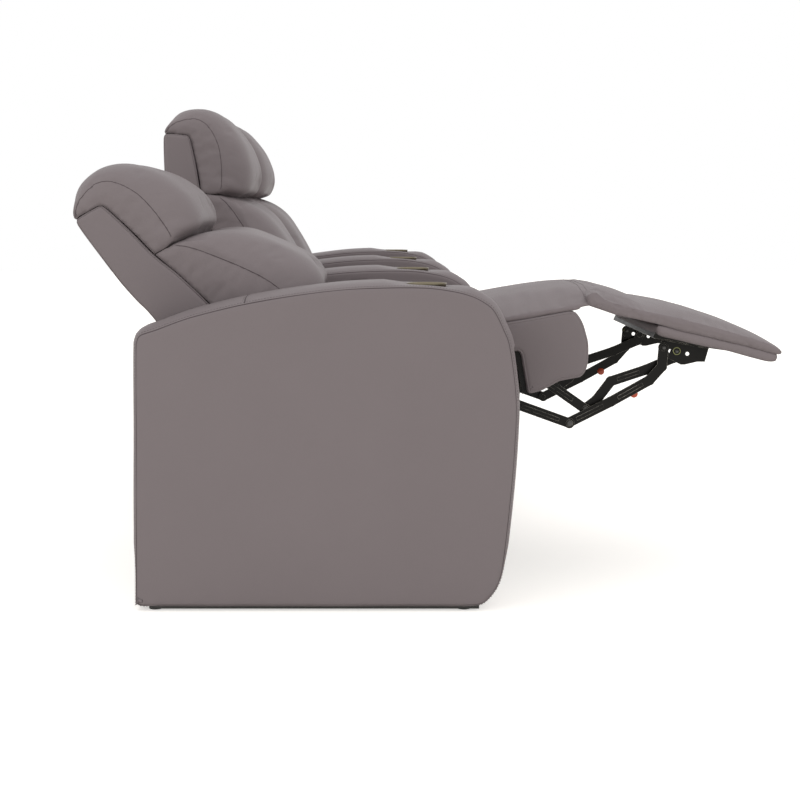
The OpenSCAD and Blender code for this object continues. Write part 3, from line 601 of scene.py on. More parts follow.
def buildForm(name, rows, capHeight, spacing=0.008):
    # rows: (y, outline) from the low side to the high side; capHeight(gap) gives how far an end panel stands out
    n = len(rows[0][1])
    verts, faces = [], []
    for y, ring in rows:
        verts.extend((p[0], y, p[1]) for p in ring)
    for j in range(len(rows) - 1):
        for k in range(n):
            a, b = j * n + k, j * n + (k + 1) % n
            faces.append((a, b, b + n, a + n))
    for side, (y, ring), base in ((-1, rows[0], 0), (1, rows[-1], (len(rows) - 1) * n)):
        flat, tris, gap = fillPanel(ring, spacing)
        index = [base + k if k < n else len(verts) + k - n for k in range(len(flat))]
        lift = capHeight(gap)
        verts.extend((flat[k][0], y + side * lift[k], flat[k][1]) for k in range(n, len(flat)))
        faces.extend([tuple(index[v] for v in f) for f in tris])
    mesh = bpy.data.meshes.new(name)
    mesh.from_pydata([tuple(map(float, v)) for v in verts], [], faces)
    bm = bmesh.new()
    bm.from_mesh(mesh)
    loose = [v for v in bm.verts if not v.link_faces]
    bmesh.ops.delete(bm, geom=loose, context="VERTS")
    bmesh.ops.recalc_face_normals(bm, faces=bm.faces)
    bm.to_mesh(mesh)
    bm.free()
    return mesh


def pillow(height, reach, valley=0.0):
    return lambda gap: height * (1 - np.exp(-gap / reach)) - valley * np.exp(-((gap / 0.004) ** 2))


def cushionForm(name, spec):
    # Outline from spec["front"], closed along spec["inner"], drawn in to the core near the two ends
    step = spec.get("step", 0.0065)
    front = smoothLine(spec["front"], step)
    inner = evenLine([spec["front"][-1], *spec["inner"], spec["front"][0]], step)[1:-1]
    ring = np.concatenate([front, inner])
    k = np.arange(len(front))
    ease = spec.get("ease", (9, 9))
    weight = np.zeros(len(ring))
    ramp = np.clip(np.minimum(k / ease[0], (len(front) - 1 - k) / ease[1]), 0, 1)
    weight[:len(front)] = ramp * ramp * (3 - 2 * ramp)
    core, draw, half = np.array(spec["core"]), np.array(spec["draw"]), spec["halfWidth"]
    count = int(round(half / step))
    s = np.linspace(0, 1, count + 1)
    s = 1 - (1 - s) ** 1.1
    s = np.concatenate([-s[:0:-1], s])
    rows = []
    for share in s:
        pull = abs(share) ** spec.get("power", 5)
        rows.append((share * half, ring + (core - ring) * draw * (pull * weight)[:, None]))
    mesh = buildForm(name, rows, pillow(spec["bulge"], spec.get("bulgeReach", 0.03)), step * 1.2)
    n, last = len(ring), len(rows) - 1
    held = np.zeros(len(mesh.vertices), bool)
    held[:n] = True
    held[last * n:(last + 1) * n] = True
    for j in range(last + 1):
        held[j * n:(j + 1) * n] |= weight < 0.02
    seams = [[(p[0], y, p[1]) for p in line] for y, line in
             ((rows[0][0], rows[0][1][:len(front)]), (rows[-1][0], rows[-1][1][:len(front)]))]
    return mesh, held, seams


def sideArcs(mesh, spec, x0, z0):
    # The seam sewn across each side of a cushion, laid on the side panel
    flat = smoothLine(placeShares(spec["arc"], x0, z0, spec["depth"], spec["height"]), 0.003)
    out = spec["halfWidth"] + spec["bulge"]
    arcs = [[(x, side * out, z) for x, z in flat] for side in (-1, 1)]
    return [[tuple(q) for q in line] for line in settle(mesh, arcs, 0.0)]


def panelledForm(name, spec):
    # A firm upholstered body: a band over its edge, a seam groove at each side and flat side panels
    ring = spec["ring"]
    out = normalsOf(ring)
    section = spec["section"]
    full = np.asarray(spec.get("full", 1.0)).reshape(-1, 1)
    half = [(y, ring - out * inset * (full if inset < 0 else 1)) for y, inset in section]
    rows = [(-y, line) for y, line in half[::-1]] + [(y, line) for y, line in half if y > 1e-6]
    mesh = buildForm(name, rows, pillow(spec.get("bulge", 0.0006), 0.04), spec.get("spacing", 0.02))
    groove = spec["groove"]
    seams = [[(p[0], side * groove[0], p[1]) for p in ring - out * groove[1]] for side in (-1, 1)]
    return mesh, seams


def bevelledBox(name, low, high, radius, mat, segments=3):
    bm = bmesh.new()
    bmesh.ops.create_cube(bm, size=1)
    low, high = Vector(low), Vector(high)
    for v in bm.verts:
        v.co = Vector((low[k] + (v.co[k] + 0.5) * (high[k] - low[k]) for k in range(3)))
    bmesh.ops.bevel(bm, geom=bm.edges[:] + bm.verts[:], offset=radius, segments=segments, profile=0.6,
                    affect="EDGES")
    mesh = bpy.data.meshes.new(name)
    bm.to_mesh(mesh)
    bm.free()
    return toObject(name, mesh, mat)


def lathe(name, profile, mat, steps=48):
    # Closed turned shape about Z from (radius, height) points
    verts, faces = [], []
    n = len(profile)
    for k in range(steps):
        a = 2 * math.pi * k / steps
        verts.extend((r * math.cos(a), r * math.sin(a), z) for r, z in profile)
    for k in range(steps):
        for i in range(n - 1):
            a, b = k * n + i, ((k + 1) % steps) * n + i
            faces.append((a, b, b + 1, a + 1))
    return toObject(name, meshFrom(name, verts, faces), mat)


def join(name, pieces):
    bm = bmesh.new()
    for piece in pieces:
        bm.from_mesh(piece.data)
    mesh = bpy.data.meshes.new(name)
    bm.to_mesh(mesh)
    bm.free()
    mat = pieces[0].data.materials[0]
    for piece in pieces:
        bpy.data.objects.remove(piece)
    return toObject(name, mesh, mat)


def cutOut(piece, cutter):
    # Boolean difference, applied at once
    change = piece.modifiers.new("cut", "BOOLEAN")
    change.operation = "DIFFERENCE"
    change.solver = "EXACT"
    change.object = cutter
    applyAll(piece)
    bpy.data.objects.remove(cutter)


def applyAll(piece):
    graph = bpy.context.evaluated_depsgraph_get()
    mesh = bpy.data.meshes.new_from_object(piece.evaluated_get(graph))
    old = piece.data
    piece.modifiers.clear()
    piece.data = mesh
    bpy.data.meshes.remove(old)
    mesh.name = piece.name


def placeShares(shares, x0, z0, depth, height):
    return [(x0 + a * depth, z0 + b * height) for a, b in shares]


# Repeated small parts, laid out by Geometry Nodes

def newTree(name, result, inputs):
    group, source, out = newGroup(name, inputs, [(result, "NodeSocketGeometry")], "GeometryNodeTree")
    return group, source, out.inputs[result]


def endTree(group, made, mat, result):
    real = addNode(group, "GeometryNodeRealizeInstances", {"Geometry": made})
    paint = addNode(group, "GeometryNodeSetMaterial", {"Geometry": real.outputs["Geometry"], "Material": mat})
    group.links.new(paint.outputs["Geometry"], result)
    return group


def makeStitchNodes():
    # One stitch at even steps along every line of the mesh
    group, source, result = newTree("stitchRow", "Stitches", [
        ("Lines", "NodeSocketGeometry", None), ("Pace", "NodeSocketFloat", 0.006),
        ("Length", "NodeSocketFloat", 0.0042), ("Thread", "NodeSocketFloat", 0.0009),
        ("Material", "NodeSocketMaterial", None),
    ])
    curve = addNode(group, "GeometryNodeMeshToCurve", {"Mesh": source["Lines"]}).outputs["Curve"]
    marks = addNode(group, "GeometryNodeCurveToPoints", {"Curve": curve, "Length": source["Pace"]}, mode="LENGTH")
    bead = addNode(group, "GeometryNodeMeshIcoSphere", {"Radius": 0.5, "Subdivisions": 1}).outputs["Mesh"]
    size = {"X": source["Thread"], "Y": source["Thread"], "Z": source["Length"]}
    place = addNode(group, "GeometryNodeInstanceOnPoints", {
        "Points": marks.outputs["Points"], "Rotation": marks.outputs["Rotation"], "Instance": bead,
        "Scale": addNode(group, "ShaderNodeCombineXYZ", size).outputs["Vector"],
    })
    return endTree(group, place.outputs["Instances"], source["Material"], result)


def makeCordNodes():
    # A thin round cord along every line of the mesh
    group, source, result = newTree("seamCord", "Cord", [
        ("Lines", "NodeSocketGeometry", None), ("Radius", "NodeSocketFloat", 0.0012),
        ("Material", "NodeSocketMaterial", None),
    ])
    curve = addNode(group, "GeometryNodeMeshToCurve", {"Mesh": source["Lines"]}).outputs["Curve"]
    ring = addNode(group, "GeometryNodeCurvePrimitiveCircle", {"Resolution": 6, "Radius": source["Radius"]})
    tube = addNode(group, "GeometryNodeCurveToMesh", {"Curve": curve, "Profile Curve": ring.outputs["Curve"]})
    return endTree(group, tube.outputs["Mesh"], source["Material"], result)


def makeScatterNodes():
    # One copy of a part on every point, its Z turned to the point's normal
    group, source, result = newTree("partOnPoints", "Parts", [
        ("Points", "NodeSocketGeometry", None), ("Part", "NodeSocketObject", None),
        ("Material", "NodeSocketMaterial", None),
    ])
    part = addNode(group, "GeometryNodeObjectInfo", {"Object": source["Part"]}).outputs["Geometry"]
    facing = addNode(group, "GeometryNodeInputNamedAttribute", {"Name": "facing"}, data_type="FLOAT_VECTOR")
    aim = addNode(group, "FunctionNodeAlignRotationToVector", {"Vector": facing.outputs["Attribute"]}, axis="Z")
    place = addNode(group, "GeometryNodeInstanceOnPoints", {
        "Points": source["Points"], "Instance": part, "Rotation": aim.outputs["Rotation"],
    })
    return endTree(group, place.outputs["Instances"], source["Material"], result)


def runNodes(piece, group, values):
    change = piece.modifiers.new("repeat", "NODES")
    change.node_group = group
    sockets = {item.name: item.identifier for item in group.interface.items_tree if item.in_out == "INPUT"}
    for name, value in values.items():
        change[sockets[name]] = value
    applyAll(piece)


def lineMesh(name, lines):
    verts, edges = [], []
    for line in lines:
        base = len(verts)
        verts.extend(tuple(map(float, p)) for p in line)
        edges.extend((base + k, base + k + 1) for k in range(len(line) - 1))
    mesh = bpy.data.meshes.new(name)
    mesh.from_pydata(verts, edges, [])
    piece = bpy.data.objects.new(name, mesh)
    scene.collection.objects.link(piece)
    return piece


stitch = {"Pace": 0.006, "Length": 0.0042, "Thread": 0.0009}


def sewLines(name, lines):
    piece = lineMesh(name, lines)
    runNodes(piece, stitchNodes, dict(stitch, Material=looks["thread"]))
    return piece


# Seam cords in the darkened seam leather, which stands for the shade in the seam grooves
def seamLines(name, lines, radius=0.0012):
    piece = lineMesh(name, lines)
    runNodes(piece, cordNodes, {"Radius": radius, "Material": looks["seam"]})
    piece.data.polygons.foreach_set("use_smooth", [True] * len(piece.data.polygons))
    return piece


def scatter(name, part, spots, mat):
    # spots: pairs of a place and the way its copy faces
    mesh = bpy.data.meshes.new(name)
    mesh.from_pydata([tuple(map(float, p)) for p, _ in spots], [], [])
    facing = mesh.attributes.new("facing", "FLOAT_VECTOR", "POINT")
    facing.data.foreach_set("vector", [float(v) for _, way in spots for v in way])
    piece = bpy.data.objects.new(name, mesh)
    scene.collection.objects.link(piece)
    runNodes(piece, scatterNodes, {"Part": part, "Material": mat})
    piece.data.polygons.foreach_set("use_smooth", [True] * len(piece.data.polygons))
    return piece


# Materials of this object

leatherGroup = makeLeatherGroup()
steelGroup = makeWornAndHighlitSteelGroup()
looks = {kind: makeLeather(kind, leatherGroup) for kind in leatherLook}
looks.update({name: makeSteel(name, steelGroup) for name in steelLook})
looks["cup"] = makeCupMetal()
looks["redBush"] = makeTinted("redBush", (0.55, 0.08, 0.03), 0.4)
looks["limeRing"] = makeTinted("limeRing", (0.3, 0.31, 0.12), 0.5)
looks["webbing"] = makeTinted("webbing", (0.05, 0.05, 0.055), 0.9)
stitchNodes = makeStitchNodes()
scatterNodes = makeScatterNodes()
cordNodes = makeCordNodes()
print("materials ready")

makeCamera()
makeLights()


# Floor

def makeFloor():
    mesh = bpy.data.meshes.new("floor")
    size = 14.0
    mesh.from_pydata([(-size, -size, 0), (size, -size, 0), (size, size, 0), (-size, size, 0)], [], [(0, 1, 2, 3)])
    floor = toObject("floor", mesh, makeFloorMaterial(), smooth=False)


makeFloor()


# Arms

arms = {
    "length": 0.756,
    "height": 0.624,
    "low": 0.009,  # how far the leather reaches below the arm's solid
    "outline": [
        (0.03, 0.0), (0.012, 0.0015), (0.002, 0.01), (0.0, 0.03), (0.0, 0.3), (0.0, 0.6), (0.0, 0.8),
        (0.003, 0.833), (0.014, 0.852),
        (0.055, 0.869), (0.125, 0.9), (0.19, 0.922), (0.286, 0.949), (0.402, 0.973), (0.538, 0.993),
        (0.66, 1.0), (0.763, 0.999), (0.837, 0.987), (0.88, 0.973), (0.912, 0.954), (0.94, 0.926),
        (0.967, 0.862), (0.981, 0.816), (0.993, 0.72), (0.999, 0.62), (0.994, 0.48), (0.983, 0.325),
        (0.965, 0.137), (0.95, 0.068), (0.925, 0.024), (0.9, 0.004), (0.86, 0.0),
    ],
    # Half cross section of the band, from the middle to the side panel: (distance from the middle, inset)
    "section": [
        (0, -0.0108), (0.02, -0.0108), (0.04, -0.0104), (0.055, -0.0094), (0.066, -0.0077), (0.074, -0.0055),
        (0.08, -0.0033), (0.0845, -0.0014), (0.088, 0.0), (0.0903, 0.0012), (0.0914, 0.0022), (0.0912, 0.003),
        (0.0903, 0.0034), (0.0914, 0.0034), (0.0928, 0.0036), (0.094, 0.0048), (0.0947, 0.0085), (0.0949, 0.015),
    ],
    "groove": (0.0903, 0.0034),
    "crossSeam": 0.214,  # distance of the band's cross seam in front of the arm's rear
    "seamHalf": 0.086,
    "seamPairGap": 0.0045,  # from the cross seam to the stitches at each side of it
    "stitchSide": 0.0868,  # the stitched line beside the side seam, from the arm's middle
    # the black board under the arm: a dust cover, and painted shade of the dark gap between the arm and the floor
    "board": {"from": 0.03, "to": 0.68, "under": 0.0035, "inside": 0.002},
    "pocket": {"side": 0.012, "above": 0.005, "depth": 0.015, "middle": 0.008},
    "step": 0.007,
    "bulge": 0.0002,
    "crossPinch": {"depth": 0.0012, "width": 0.0022},
    "sidePinch": {"depth": 0.0006, "width": 0.003, "gathers": 0.0005, "reach": 0.012, "pace": 0.035},
    # How full the band is stuffed: behind the cup, before it, and the least of it right at the cup
    "stuffing": {"rear": 0.8, "front": 1.1, "atCup": 0.06, "cupReach": (0.036, 0.05), "floorReach": (0.02, 0.1)},
    "fill": 0.9,
}
cup = {
    "bore": 0.038,  # radius
    "wall": 0.0016,
    "depth": 0.072,
    "rimWidth": 0.0035,
    "rimHeight": 0.0018,
    "back": 0.176,  # distance of a cup's centre behind the arm's front
}


def armStuffing(ring, base, low, high):
    # The band's stuffing thins out at the cup and towards the floor
    stuffing = arms["stuffing"]
    rear, (gap, fade), (foot, rise) = stuffing["rear"], stuffing["cupReach"], stuffing["floorReach"]
    aside = ring[:, 0] - (high[0] - cup["back"])
    full = np.where(aside < 0, rear, stuffing["front"])
    full = full * np.clip((np.abs(aside) - gap) / fade, stuffing["atCup"], 1)
    return np.where(ring[:, 1] > low[2] + 0.5, full, rear) * np.clip((ring[:, 1] - base - foot) / rise, 0, 1)


def cutCupBore(piece, low, high):
    middle = (low[1] + high[1]) / 2
    bpy.ops.mesh.primitive_cylinder_add(vertices=96, radius=cup["bore"] + cup["wall"] + 0.0004, depth=0.3,
                                        location=(high[0] - cup["back"], middle, high[2] - cup["depth"] + 0.148))
    cutOut(piece, bpy.context.object)


def cutSwitchPocket(piece, low):
    pocket = arms["pocket"]
    near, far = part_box("switch_bezels")
    x0, x1 = near[0] + pocket["side"], far[0] - pocket["side"]
    z0, z1 = near[2] + pocket["above"], far[2] - pocket["above"]
    place = ((x0 + x1) / 2, low[1] + pocket["middle"], (z0 + z1) / 2)
    bpy.ops.mesh.primitive_cube_add(size=1, location=place)
    box = bpy.context.object
    box.scale = (x1 - x0, 2 * pocket["depth"], z1 - z0)
    cutOut(piece, box)


def makeArms():
    for i in armNumbers:
        low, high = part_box(f"arm_{i}")
        middle = (low[1] + high[1]) / 2
        base = low[2] - arms["low"]
        shares = placeShares(arms["outline"], low[0], base, arms["length"], arms["height"] + arms["low"])
        front = smoothLine(shares, arms["step"])
        under = evenLine([front[-1], front[0]], arms["step"] * 3)[1:-1]
        ring = np.concatenate([front, under])
        spec = dict(arms, ring=ring, full=armStuffing(ring, base, low, high))
        mesh, seams = panelledForm(f"armLeather_{i}", spec)
        # The cross seam is sewn over the band at one place on the outline
        away = np.abs(front[:, 0] - low[0] - arms["crossSeam"]) + (front[:, 1] < low[2] + 0.3)
        near = int(np.argmin(away))
        spot = front[near]
        depths, insets = zip(*arms["section"])
        across = np.linspace(-arms["seamHalf"], arms["seamHalf"], 60)
        line = [(spot[0], y, spot[1] + 0.8 * -np.interp(abs(y), depths, insets)) for y in across]
        pinch(mesh, line, **arms["crossPinch"])
        for seam in seams:
            pinch(mesh, seam, seed=i, **arms["sidePinch"])
        soften(mesh, size=0.16, amount=0.0005, seed=i * 1.7)
        setCoordinates(mesh, coordinates(mesh) + np.array([0, middle, 0]))
        piece = toObject(f"armLeather_{i}", mesh, looks["arm"])
        cutCupBore(piece, low, high)
        if i > 1:
            cutSwitchPocket(piece, low)
        piece.data.polygons.foreach_set("use_smooth", [True] * len(piece.data.polygons))
        handOver(piece, "root", [f"arm_{i}"])
        sewn = [[(x, middle + side * arms["stitchSide"], z) for x, z in offsetLine(front, -0.0008)]
                for side in (-1, 1)]
        slope = (front[near + 2] - front[near - 2]) / np.linalg.norm(front[near + 2] - front[near - 2])
        for gap in (-arms["seamPairGap"], arms["seamPairGap"]):
            at = spot + slope * gap
            sewn.append([(at[0], middle + p[1], at[1] + p[2] - spot[1] - 0.0004) for p in line[4:-4]])
        threads = sewLines(f"armStitches_{i}", sewn)
        seams = [[(x, y + middle, z) for x, y, z in seam] for seam in seams]
        seams.append([(x, y + middle, z - 0.0008) for x, y, z in line])
        cords = seamLines(f"armSeams_{i}", seams)
        # A black board fills the gap under each arm: a dust cover, and painted shade of the dark band under the arm
        reach, half = arms["board"], arms["seamHalf"]
        board = bevelledBox(f"armBoard_{i}", (low[0] + reach["from"], middle - half, reach["under"]),
                            (low[0] + reach["to"], middle + half, low[2] + reach["inside"]), 0.001,
                            looks["footPlastic"], 2)
        handOver(threads, "root")
        handOver(cords, "root")
        handOver(board, "root")


def offsetLine(line, inset):
    out = normalsOf(line)
    out[0], out[-1] = out[1], out[-2]
    return line - out * inset


makeArms()
print("arms ready")


def makeCups():
    r, w, d = cup["bore"], cup["wall"], cup["depth"]
    rim, h = cup["rimWidth"], cup["rimHeight"]
    profile = [
        (0.0001, -d + 0.0008), (r * 0.3, -d + 0.0004), (r * 0.62, -d + 0.0006), (r * 0.66, -d + 0.0016),
        (r * 0.72, -d + 0.0016), (r * 0.76, -d + 0.0006), (r - 0.006, -d + 0.0008), (r - 0.0022, -d + 0.003),
        (r - 0.0006, -d + 0.008), (r - 0.0001, -d * 0.5), (r, -0.004), (r + 0.0004, h - 0.0012),
        (r + 0.0014, h - 0.0002), (r + 0.003, h + 0.0001), (r + rim - 0.0016, h - 0.0003),
        (r + rim - 0.0003, h - 0.0011), (r + rim, h - 0.0017), (r + rim - 0.0004, 0.0005), (r + w + 0.0006, 0.0003),
        (r + w, -0.0005), (r + w, -d * 0.5), (r + w - 0.0004, -d + 0.004), (r - 0.004, -d - w * 0.9),
        (0.0001, -d - w),
    ]
    pieces = []
    for i in armNumbers:
        low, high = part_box(f"arm_{i}")
        one = lathe(f"cup_{i}", profile, looks["cup"], 72)
        one.data.transform(Matrix.Translation((high[0] - cup["back"], (low[1] + high[1]) / 2, high[2])))
        pieces.append(one)
    cups = join("cupLiners", pieces)
    handOver(cups, "root", ["cup_holders"])


makeCups()
print("cups ready")


# Seat box: padded side panels, front and rear boards and webbing

seatBox = {
    "apronHeight": 0.14,
    "apronLength": 0.143,
    "stripHeight": 0.063,
    "frontIn": 0.0045,
    "underside": [(0, -0.012), (0.005, -0.0165), (0.03, -0.014), (0.07, -0.001)],  # from the apron's rear foot
    # The front edge is a shallow barrel, rounder below than above
    "barrel": [(0.0296, -0.001), (0.0177, 0.0075), (0.0073, 0.027), (0.0, 0.0625), (0.0006, 0.0855),
               (0.0043, 0.1125)],
    "nose": [(0.0145, 0.005), (0.03, 0)],
    "thick": 0.024,
    "halfWidth": 0.276,
    "panel": {
        "section": [(0, 0), (0.004, 0), (0.007, 0.0004), (0.0092, 0.0014), (0.0106, 0.003), (0.0108, 0.0042),
                    (0.0101, 0.005), (0.0108, 0.0058), (0.0116, 0.008), (0.0119, 0.012)],
        "groove": (0.0101, 0.005),
        "bulge": 0.0012,
        "spacing": 0.012,
    },
    "panelIn": 0.001,
    "frontBoard": {"from": 0.034, "to": 0.010, "low": 0.095, "high": 0.006, "round": 0.006},
    "rearBoard": {"to": 0.022, "low": 0.026, "high": 0.0025, "round": 0.004},
    "straps": 5,
    "crossStraps": 7,
    "strap": {"width": 0.048, "halfThick": 0.0004, "wave": 0.0008, "sag": 0.0012, "level": 0.0014},
    "strapIn": {"rear": 0.012, "front": 0.024, "side": 0.002},
}


def boxOutline():
    low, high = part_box("seat_box_2")
    x0, x1, top = low[0], high[0] - seatBox["frontIn"], high[2]
    zLow, zStrip, xStep = top - seatBox["apronHeight"], top - seatBox["stripHeight"], x1 - seatBox["apronLength"]
    points = [(x0 + 0.004, top), (x0, top - 0.004), (x0, zStrip + 0.004), (x0 + 0.004, zStrip)]
    points += [(xStep - 0.006, zStrip), (xStep, zStrip - 0.006)]
    points += [(xStep + x, zLow + z) for x, z in seatBox["underside"]]
    front = [(x1 - x, zLow + z) for x, z in seatBox["barrel"]] + [(x1 - x, top - z) for x, z in seatBox["nose"]]
    points += [tuple(p) for p in smoothLine(front, 0.006)]
    return evenLine(points + [points[0]], 0.006)[:-1], (x0, x1, top)


def makeSeatBox():
    ring, (x0, x1, top) = boxOutline()
    t, w = seatBox["thick"], seatBox["halfWidth"]
    pieces = []
    for side in (-1, 1):
        mesh, _ = panelledForm("boxSide", dict(seatBox["panel"], ring=ring))
        soften(mesh, size=0.08, amount=0.0006, seed=side * 2.0)
        piece = toObject("boxSide", mesh, looks["panel"])
        piece.data.transform(Matrix.Translation((0, side * (w - t / 2 - seatBox["panelIn"]), 0)))
        pieces.append(piece)
    inner = w - t
    front, rear = seatBox["frontBoard"], seatBox["rearBoard"]
    pieces.append(bevelledBox("frontBoard", (x1 - front["from"], -inner, top - front["low"]),
                              (x1 - front["to"], inner, top - front["high"]), front["round"], looks["panel"], 4))
    pieces.append(bevelledBox("rearBoard", (x0, -inner, top - rear["low"]),
                              (x0 + rear["to"], inner, top - rear["high"]), rear["round"], looks["panel"], 3))
    putOnSeats(join("seatBoxLeather", pieces), "seat", ["seat_box"])
    inset, count, crossCount = seatBox["strapIn"], seatBox["straps"], seatBox["crossStraps"]
    inner -= inset["side"]
    xRear, xFront, z = x0 + inset["rear"], x1 - inset["front"], top - seatBox["strap"]["level"]
    straps = []
    for k in range(count):
        y = -inner + (k + 0.5) / count * 2 * inner
        straps.append(wovenStrap((xRear, y), (xFront, y), crossCount, k % 2, z))
    for k in range(crossCount):
        x = xRear + (k + 0.5) / crossCount * (xFront - xRear)
        straps.append(wovenStrap((x, -inner), (x, inner), count, (k + 1) % 2, z))
    putOnSeats(join("seatWebbing", straps), "seat")


def wovenStrap(start, end, crossings, phase, z):
    # A flat strap that passes over and under the straps across it
    strap = seatBox["strap"]
    a, b = np.array(start), np.array(end)
    along = (b - a) / np.linalg.norm(b - a)
    side = np.array([-along[1], along[0]]) * strap["width"] / 2
    verts, faces = [], []
    steps = crossings * 8
    for k in range(steps + 1):
        p = a + (b - a) * k / steps
        wave = math.sin(math.pi * (k / 8 + phase)) * strap["wave"] - strap["sag"]
        for lift in (-strap["halfThick"], strap["halfThick"]):
            for s in (-1, 1):
                verts.append((p[0] + s * side[0], p[1] + s * side[1], z + wave + lift))
    for k in range(steps):
        q = k * 4
        for m, n2 in ((0, 1), (1, 3), (3, 2), (2, 0)):
            faces.append((q + m, q + n2, q + 4 + n2, q + 4 + m))
    faces.append((0, 2, 3, 1))
    faces.append((steps * 4, steps * 4 + 1, steps * 4 + 3, steps * 4 + 2))
    return toObject("strap", meshFrom("strap", verts, faces), looks["webbing"])


makeSeatBox()
print("seat boxes ready")


# Seat cushion

seatCushion = {
    "shape": [
        (0.0, 0.0), (0.0, 0.35), (0.02, 0.66), (0.12, 0.82), (0.35, 0.92), (0.6, 1.0), (0.8, 1.0), (0.91, 0.9),
        (0.975, 0.7), (1.0, 0.45), (0.985, 0.29), (0.93, 0.2), (0.9, 0.0),
    ],
    "halfWidth": 0.2695,
    "draw": (0.02, 0.8),
    "bulge": 0.004,
    "power": 3.4,
    "ease": (6, 6),
    "pressure": 1.5,
    "cap": 0.004,
    "crossSeams": (0.033, 0.043),  # behind the foremost point of the nose
    "crossHalf": 0.258,
    "seam": {"depth": 0.0014, "width": 0.0035, "gathers": 0.0012, "reach": 0.02, "pace": 0.03, "seed": 3},
    "crossSeam": {"depth": 0.0024, "width": 0.004, "gathers": 0.0012, "reach": 0.02, "pace": 0.025},
    "soft": {"size": 0.12, "amount": 0.0012, "seed": 4.1},
    "fill": 0.75,
}


def makeSeatCushion():
    low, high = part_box("seat_cushion_2")
    front = placeShares(seatCushion["shape"], low[0], low[2], high[0] - low[0], high[2] - low[2] - 0.0015)
    spec = dict(seatCushion, front=front, inner=[], core=(low[0] + 0.27, low[2]))
    mesh, held, seams = cushionForm("seatCushion", spec)
    piece = toObject("seatCushionLeather", mesh, looks["cushion"])
    inflate(piece, held, seatCushion["pressure"], seatCushion["cap"])
    for seam in seams:
        pinch(mesh, seam, **seatCushion["seam"])
    soften(mesh, **seatCushion["soft"])
    # Two rows sewn across the cushion just behind its nose
    top = smoothLine(front, 0.003)
    rows = []
    for back in seatCushion["crossSeams"]:
        spot = top[int(np.argmin(np.abs(top[:, 0] - (high[0] - back)) + (top[:, 1] < low[2] + 0.02)))]
        across = np.linspace(-seatCushion["crossHalf"], seatCushion["crossHalf"], 130)
        fall = seatCushion["draw"][1] * (spot[1] - low[2])
        rows.append([(spot[0], y, spot[1] - (abs(y) / seatCushion["halfWidth"]) ** seatCushion["power"] * fall)
                     for y in across])
    for k, row in enumerate(rows):
        pinch(mesh, row, seed=7 + k, **seatCushion["crossSeam"])
    putOnSeats(piece, "seat", ["seat_cushion"])
    putOnSeats(sewLines("cushionStitches", settle(mesh, rows, 0.0004)), "seat")


makeSeatCushion()
print("seat cushions ready")


# Back shell

backShell = {
    "depth": 0.138,
    "height": 0.54,
    "outline": [
        (0.2, 0.0), (0.14, 0.03), (0.13, 0.25), (0.105, 0.43), (0.085, 0.534), (0.039, 0.6), (0.007, 0.661),
        (-0.014, 0.722), (-0.03, 0.84), (-0.037, 0.9), (-0.04, 0.96), (-0.025, 0.987), (0.05, 0.998),
        (0.366, 0.991), (0.453, 0.98), (0.5, 0.943), (0.583, 0.839), (0.67, 0.709), (0.8, 0.598), (0.93, 0.437),
        (1.0, 0.25), (1.01, 0.1), (0.97, 0.0),
    ],
    "halfWidth": 0.276,
    "section": [
        (0, 0), (0.05, 0), (0.1, 0), (0.15, 0), (0.2, 0.0), (0.235, 0.0001), (0.25, 0.0003), (0.26, 0.0007),
        (0.266, 0.0013), (0.2705, 0.0024), (0.2725, 0.0034), (0.2729, 0.0041), (0.2719, 0.0047), (0.2729, 0.0047),
        (0.2742, 0.0052), (0.2752, 0.0075), (0.2756, 0.013),
    ],
    "groove": (0.272, 0.0047),
    "rearSeam": {"in": 0.016, "foot": 0.17, "lean": 0.13, "low": 0.02, "tall": 0.47},
    "ears": {"levels": (0.243, 0.247), "radius": 0.02, "top": (0.76, 0.063)},
}


def shellPlace():
    low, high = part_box("back_shell_2")
    return low[0] + 0.03 * backShell["depth"], high[2] - backShell["height"]


def shellFace(first, last):
    # The shell's outline from one of its points back to an earlier one, a hair ahead of it
    x0, z0 = shellPlace()
    shares = backShell["outline"][first:last:-1]
    return placeShares(shares, x0 + 0.0008, z0 + 0.0006, backShell["depth"], backShell["height"])


def makeBackShell():
    x0, z0 = shellPlace()
    ring = smoothLine(placeShares(backShell["outline"], x0, z0, backShell["depth"], backShell["height"]), 0.007,
                      closed=True)[:-1]
    mesh, seams = panelledForm("backShellLeather", {"ring": ring, "section": backShell["section"],
                                                    "groove": backShell["groove"], "bulge": 0.0008,
                                                    "spacing": 0.014})
    seam, out = backShell["rearSeam"], backShell["section"][-1][0]
    for side in (-1, 1):
        line = [(x0 + backShell["depth"] * (seam["foot"] - seam["lean"] * t) + seam["in"], side * out,
                 z0 + seam["low"] + seam["tall"] * t) for t in np.linspace(0, 1, 90)]
        pinch(mesh, line, depth=0.0011, width=0.0024)
    soften(mesh, size=0.14, amount=0.0008, seed=9.2)
    piece = toObject("backShellLeather", mesh, looks["arm"])
    putOnSeats(piece, "back", ["back_shell"])
    putOnSeats(seamLines("shellSeams", seams, 0.0011), "back")
    # Steel ears that carry the back on its pivots
    pivot = jointPlace("back_recline_2")
    ears = backShell["ears"]
    line = [(pivot.x, pivot.z), (x0 + ears["top"][0] * backShell["depth"], z0 + ears["top"][1])]
    pieces = []
    for side in (-1, 1):
        y0, y1 = sorted(side * level for level in ears["levels"])
        pieces.append(flatBar("backEar", line, ears["radius"], y0, y1, looks["frameSteel"]))
    putOnSeats(join("backEars", pieces), "back")


